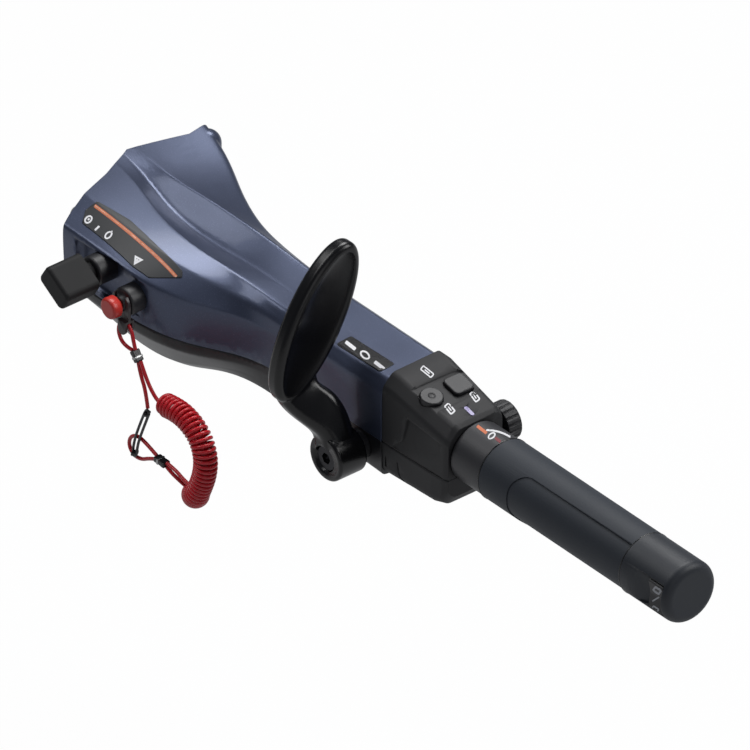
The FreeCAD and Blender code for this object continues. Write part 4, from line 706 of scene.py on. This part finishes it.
@dataclass
class Printing:
    """Every printed mark, all of them generic signs, and the painted highlight on the panel's stripe.

    Attributes:
        view: the studio whose camera looks as the photograph does.
        slots: material slot by node; not used.
        bodies: body by node.
        thickness: of the ink in millimetres.
        stand_off: how far before the aim a mark starts, in metres, before it is pressed down.
        stripe_route: of the panel's stripe in pixels.
    """

    view: "Studio"
    slots: dict[str, str]
    bodies: dict[str, str]
    thickness: float = 0.06
    stand_off: float = 0.6
    stripe_route: tuple = ((91.2, 203.2), (103.6, 212.4), (116.1, 222.1), (128.6, 232.2), (141.0, 242.9),
                           (151.6, 252.2), (161.6, 261.8), (169.4, 269.6), (175.6, 276.6))
    marks: tuple[Mark, ...] = (
        Mark("panel_ring", "icon_panel", WHITE_INK, 24, (87.1, 218.8), (9.6, 7.2), -45, 1.7),
        Mark("panel_dot", "icon_panel", WHITE_INK, 16, (87.3, 218.6), (2.6, 2.0), -45),
        Mark("panel_bar", "icon_panel", WHITE_INK, 4, (95.9, 227.6), (6.2, 2.0), -45),
        Mark("panel_oval", "icon_panel", WHITE_INK, 24, (107.3, 234.6), (9.6, 6.4), -45, 1.6),
        Mark("panel_oval_stem", "icon_panel", WHITE_INK, 4, (110.3, 231.2), (2.6, 1.3), -45),
        Mark("panel_triangle", "icon_panel", WHITE_INK, 3, (136.6, 259.7), (13.0, 11.0), -28, 1.9),
        Mark("panel_triangle_dot", "icon_panel", WHITE_INK, 16, (136.3, 259.9), (3.0, 2.4), -45),
        Mark("gear_bar_rear", "gear_label", WHITE_INK, 4, (350.5, 345.5), (12.5, 3.6), 38),
        Mark("gear_ring", "gear_label", WHITE_INK, 24, (365.0, 355.0), (11.5, 7.6), 38, 1.7),
        Mark("gear_bar_front", "gear_label", WHITE_INK, 4, (379.5, 365.5), (12.5, 3.6), 38),
        Mark("speed_sign_rear", "switch_console", WHITE_INK, 4, (427.1, 371.7), (14.6, 5.8), 39, 1.3),
        Mark("speed_sign_rear_bar", "switch_console", WHITE_INK, 4, (427.1, 371.7), (6.4, 1.3), 39),
        Mark("speed_sign_high", "switch_console", WHITE_INK, 4, (474.6, 396.4), (11.6, 6.4), 54, 1.5),
        Mark("speed_sign_high_bar", "switch_console", WHITE_INK, 4, (474.6, 396.4), (5.4, 1.2), 54),
        Mark("speed_sign_low", "switch_console", WHITE_INK, 4, (449.6, 408.6), (11.6, 6.6), 51, 1.5),
        Mark("speed_sign_low_bar", "switch_console", WHITE_INK, 4, (449.6, 408.6), (5.4, 1.2), 51),
        Mark("throttle_sign_orange", "throttle_collar", ORANGE_INK, 4, (481.6, 429.4), (12.0, 3.2), 38),
        Mark("throttle_sign_line", "throttle_collar", WHITE_INK, 4, (498.0, 433.4), (25.0, 1.9), 16, bow=-1.8,
             reach_mm=16.0),
        Mark("throttle_sign_ring", "throttle_collar", WHITE_INK, 24, (491.3, 435.6), (9.0, 5.8), -38, 1.4),
        Mark("throttle_sign_red", "throttle_collar", RED_INK, 4, (497.4, 439.6), (7.0, 3.0), 38),
        Mark("rocker_sign_high", "thumb_rocker", GREY_INK, 4, (654.6, 588.6), (8.6, 6.0), 34, 1.9),
        Mark("rocker_sign_slant", "thumb_rocker", GREY_INK, 4, (653.4, 597.2), (8.0, 1.4), -32),
        Mark("rocker_sign_low", "thumb_rocker", GREY_INK, 4, (652.6, 607.4), (7.6, 5.6), 34, 1.5),
    )

    def outline(self, mark: Mark) -> bpy.types.Object:
        """Make a mark's flat outline, one unit to the pixel."""
        deselect()
        bpy.ops.mesh.primitive_circle_add(vertices=mark.corners, radius=0.5, fill_type="NGON")
        piece = bpy.context.object
        if mark.corners == 4:
            piece.rotation_euler.z = math.pi / 4
            settle(piece)
            piece.scale = (math.sqrt(2) * mark.size[0], math.sqrt(2) * mark.size[1], 1)
        else:
            piece.scale = (mark.size[0], mark.size[1], 1)
        settle(piece)
        choose(piece)
        bpy.ops.object.mode_set(mode="EDIT")
        bpy.ops.mesh.select_all(action="SELECT")
        if mark.corners == 4:
            bpy.ops.mesh.bevel(offset=min(mark.size) * 0.25, affect="VERTICES", segments=3)
            bpy.ops.mesh.select_all(action="SELECT")
        if mark.line:
            bpy.ops.mesh.inset(thickness=mark.line, depth=0)
            bpy.ops.mesh.delete(type="FACE")
            bpy.ops.mesh.select_all(action="SELECT")
        bpy.ops.mesh.quads_convert_to_tris()
        bpy.ops.mesh.subdivide(number_cuts=3)
        bpy.ops.object.mode_set(mode="OBJECT")
        if mark.bow:
            for vertex in piece.data.vertices:
                vertex.co.y -= mark.bow * (1 - (2 * vertex.co.x / mark.size[0]) ** 2)
        return piece

    def press(self, piece: bpy.types.Object, mark: Mark) -> None:
        """Press a flat outline onto the piece that carries it, along the camera's view.

        Args:
            piece: the flat outline.
            mark: what it is and where it goes.
        """
        away = self.view.towards(self.view.azimuth, self.view.elevation)
        turn = away.to_track_quat("Z", "Y")
        across = turn @ Vector((1, 0, 0))
        up = turn @ Vector((0, 1, 0))
        step = MM / PIXELS_PER_MM
        middle = PHOTO_PIXELS / 2
        piece.rotation_euler.z = -math.radians(mark.turn)
        settle(piece)
        piece.scale = (step, step, step)
        piece.rotation_euler = turn.to_euler()
        piece.location = (Vector(self.view.aim) + away * self.stand_off
                          + across * ((mark.place[0] - middle) * step)
                          - up * ((mark.place[1] - middle) * step))
        add_modifier(piece, "SHRINKWRAP", target=bpy.data.objects[mark.node + "_skin"], wrap_method="PROJECT",
                     use_project_z=True, use_negative_direction=True, use_positive_direction=False)
        settle(piece)
        self.trim(piece, mark.reach_mm)
        add_modifier(piece, "SOLIDIFY", thickness=self.thickness * MM, offset=1.0)

    def trim(self, piece: bpy.types.Object, reach: float) -> None:
        """Cut off the ink that missed the face of the piece that carries it.

        Args:
            piece: the pressed outline.
            reach: how far from its middle depth, in millimetres, ink may lie.
        """
        away = self.view.towards(self.view.azimuth, self.view.elevation)
        depths = [vertex.co.dot(away) for vertex in piece.data.vertices]
        start = Vector(self.view.aim).dot(away) + self.stand_off
        landed = sorted(depth for depth in depths if depth < start - 0.1)
        middle = landed[len(landed) // 2] if landed else 0.0
        choose(piece)
        bpy.ops.object.mode_set(mode="EDIT")
        bpy.ops.mesh.select_mode(type="VERT")
        bpy.ops.mesh.select_all(action="DESELECT")
        bpy.ops.object.mode_set(mode="OBJECT")
        for vertex, depth in zip(piece.data.vertices, depths):
            vertex.select = abs(depth - middle) > reach * MM
        bpy.ops.object.mode_set(mode="EDIT")
        bpy.ops.mesh.delete(type="VERT")
        bpy.ops.object.mode_set(mode="OBJECT")

    def build(self) -> None:
        """Press every mark."""
        for mark in self.marks:
            piece = self.outline(mark)
            self.press(piece, mark)
            hand_over(piece, mark.name, mark.finish, self.bodies[mark.node])
        self.stripe()

    def stripe(self) -> None:
        """Press the orange stripe along the panel's inner edge, with a pale line on its crest as a painted
        highlight.
        """
        # the orange band is print; the narrow pale band along its middle is a painted highlight of the
        # stripe's crest
        bands = (("panel_stripe", ORANGE_INK, 3.3), ("panel_stripe_painted_highlight", PAINTED_HIGHLIGHT_ORANGE, 1.3))
        for name, finish, width in bands:
            deselect()
            bpy.ops.mesh.primitive_grid_add(x_subdivisions=48, y_subdivisions=2, size=1.0)
            piece = bpy.context.object
            for vertex in piece.data.vertices:
                share = (vertex.co.x + 0.5) * (len(self.stripe_route) - 1)
                part = min(int(share), len(self.stripe_route) - 2)
                low, high = Vector(self.stripe_route[part]), Vector(self.stripe_route[part + 1])
                along = (high - low).normalized()
                place = low.lerp(high, share - part) + Vector((-along.y, along.x)) * (vertex.co.y * width)
                vertex.co.x, vertex.co.y = place.x, -place.y
            flat = Mark(name, "icon_panel", finish, 4, (0.0, 0.0), (1.0, 1.0), 0, reach_mm=60.0)
            piece.data.flip_normals()
            self.press(piece, flat)
            hand_over(piece, name, finish, self.bodies["icon_panel"])


@dataclass
class Studio:
    """The pale floor, the soft lamps and the camera at the photograph's angle.

    Attributes:
        azimuth: of the camera in degrees, from the front towards +X.
        elevation: of the camera in degrees.
        distance: of the camera in metres: a long lens, so almost no perspective.
        aim: what the frame's middle looks at, in metres.
        floor_z: height of the floor, in metres.
        gloss_share: how much of the white floor a glossy surface shows.
        shadow_share: how much of the floor's look is left to its shadow.
        lamps: name, azimuth, elevation, distance, side and power of each.
    """

    azimuth: float = 50.4
    elevation: float = 33.6
    distance: float = 20.0
    aim: tuple[float, float, float] = (0.2674, -0.010, 0.0243)
    floor_z: float = -0.30
    gloss_share: float = 0.45
    shadow_share: float = 0.05
    lamps: tuple = (
        ("key_lamp", -146.0, 58.0, 1.6, 0.8, 17.0),
        ("left_lamp", -48.0, 56.0, 1.8, 0.9, 9.0),
        ("right_lamp", 135.0, 36.0, 1.8, 0.9, 14.0),
        ("fill_lamp", 62.0, 24.0, 2.2, 1.2, 3.0),
    )

    def towards(self, azimuth: float, elevation: float) -> Vector:
        """The direction from the aim to a viewer at an azimuth and elevation in degrees."""
        turn, lift = math.radians(azimuth), math.radians(elevation)
        return Vector((math.sin(turn) * math.cos(lift), -math.cos(turn) * math.cos(lift), math.sin(lift)))

    def camera(self) -> None:
        """Set the camera."""
        data = bpy.data.cameras.new("photo_camera")
        view_width = PHOTO_PIXELS / PIXELS_PER_MM * MM
        data.sensor_width = 36.0
        data.lens = data.sensor_width * self.distance / view_width
        data.clip_end = 50.0
        made = bpy.data.objects.new("photo_camera", data)
        bpy.context.scene.collection.objects.link(made)
        away = self.towards(self.azimuth, self.elevation)
        made.location = Vector(self.aim) + away * self.distance
        made.rotation_euler = away.to_track_quat("Z", "Y").to_euler()
        bpy.context.scene.camera = made

    def lamp(self, name: str, azimuth: float, elevation: float, distance: float, size: float,
             power: float) -> None:
        """Add a soft square lamp aimed at the object.

        Args:
            name: the lamp's name.
            azimuth: in degrees.
            elevation: in degrees.
            distance: in metres.
            size: side in metres.
            power: in watts.
        """
        data = bpy.data.lights.new(name, "AREA")
        data.size = size
        data.energy = power
        made = bpy.data.objects.new(name, data)
        bpy.context.scene.collection.objects.link(made)
        away = self.towards(azimuth, elevation)
        made.location = Vector(self.aim) + away * distance
        made.rotation_euler = away.to_track_quat("Z", "Y").to_euler()

    def world(self) -> None:
        """Light the world softly, and show it white to the eye and through clear pieces."""
        world = bpy.data.worlds.new("studio")
        bpy.context.scene.world = world
        world.use_nodes = True
        tree = world.node_tree
        tree.nodes.clear()
        path = add_node(tree, "LightPath")
        seen = add_node(tree, "Math", operation="MAXIMUM")
        tree.links.new(path.outputs["Is Camera Ray"], seen.inputs[0])
        tree.links.new(path.outputs["Is Transmission Ray"], seen.inputs[1])
        dim = add_node(tree, "Background", values={"Color": linear("dfe4f0"), "Strength": 0.16})
        white = add_node(tree, "Background", values={"Color": (1, 1, 1, 1), "Strength": 1.0})
        mix = add_node(tree, "MixShader")
        tree.links.new(seen.outputs[0], mix.inputs[0])
        tree.links.new(dim.outputs[0], mix.inputs[1])
        tree.links.new(white.outputs[0], mix.inputs[2])
        out = add_node(tree, "OutputWorld")
        tree.links.new(mix.outputs[0], out.inputs["Surface"])

    def floor(self) -> None:
        """Lay the pale floor: white to the eye, fainter in gloss, with a soft shadow left in it."""
        deselect()
        bpy.ops.mesh.primitive_plane_add(size=24.0, location=(0.25, 0.0, self.floor_z))
        piece = bpy.context.object
        piece.name = "studio_floor"
        material = bpy.data.materials.new("pale paper floor")
        material.use_nodes = True
        tree = material.node_tree
        tree.nodes.clear()
        path = add_node(tree, "LightPath")
        rays = {0: path.outputs["Is Camera Ray"], 1: path.outputs["Is Transmission Ray"]}
        seen = add_node(tree, "Math", rays, operation="MAXIMUM")
        gloss = add_node(tree, "Math", {0: path.outputs["Is Glossy Ray"], 2: seen.outputs[0]},
                         {1: self.gloss_share}, operation="MULTIPLY_ADD", use_clamp=True)
        share = add_node(tree, "Math", {0: gloss.outputs[0]}, {1: 1 - self.shadow_share},
                         operation="MULTIPLY")
        paper = add_node(tree, "BsdfDiffuse", values={"Color": (0.3, 0.31, 0.33, 1)})
        white = add_node(tree, "Emission", values={"Color": (1, 1, 1, 1), "Strength": 1.03})
        both = add_node(tree, "MixShader", {0: share.outputs[0], 1: paper.outputs[0], 2: white.outputs[0]})
        out = add_node(tree, "OutputMaterial")
        tree.links.new(both.outputs[0], out.inputs["Surface"])
        piece.data.materials.append(material)
        settle(piece)

    def build(self) -> None:
        """Build the camera, world, lamps and floor."""
        self.camera()
        self.world()
        for lamp in self.lamps:
            self.lamp(*lamp)
        self.floor()
        bpy.context.scene.view_settings.view_transform = "Standard"


def main() -> None:
    """Load the frame, build the camera and cords, then every other piece."""
    logging.basicConfig(level=logging.INFO, format="%(name)s: %(message)s")
    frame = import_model()
    record = frame["record"]
    slots = {part["node"]: part["material_slot"] for part in record["subparts"]}
    bodies = {node: body for body, nodes in record["behaviour"]["bodies"].items() for node in nodes}
    studio = Studio()
    studio.build()
    Lanyard().build()
    Carried(frame["nodes"], slots, bodies).build()
    Printing(studio, slots, bodies).build()


if __name__ == "__main__":
    main()
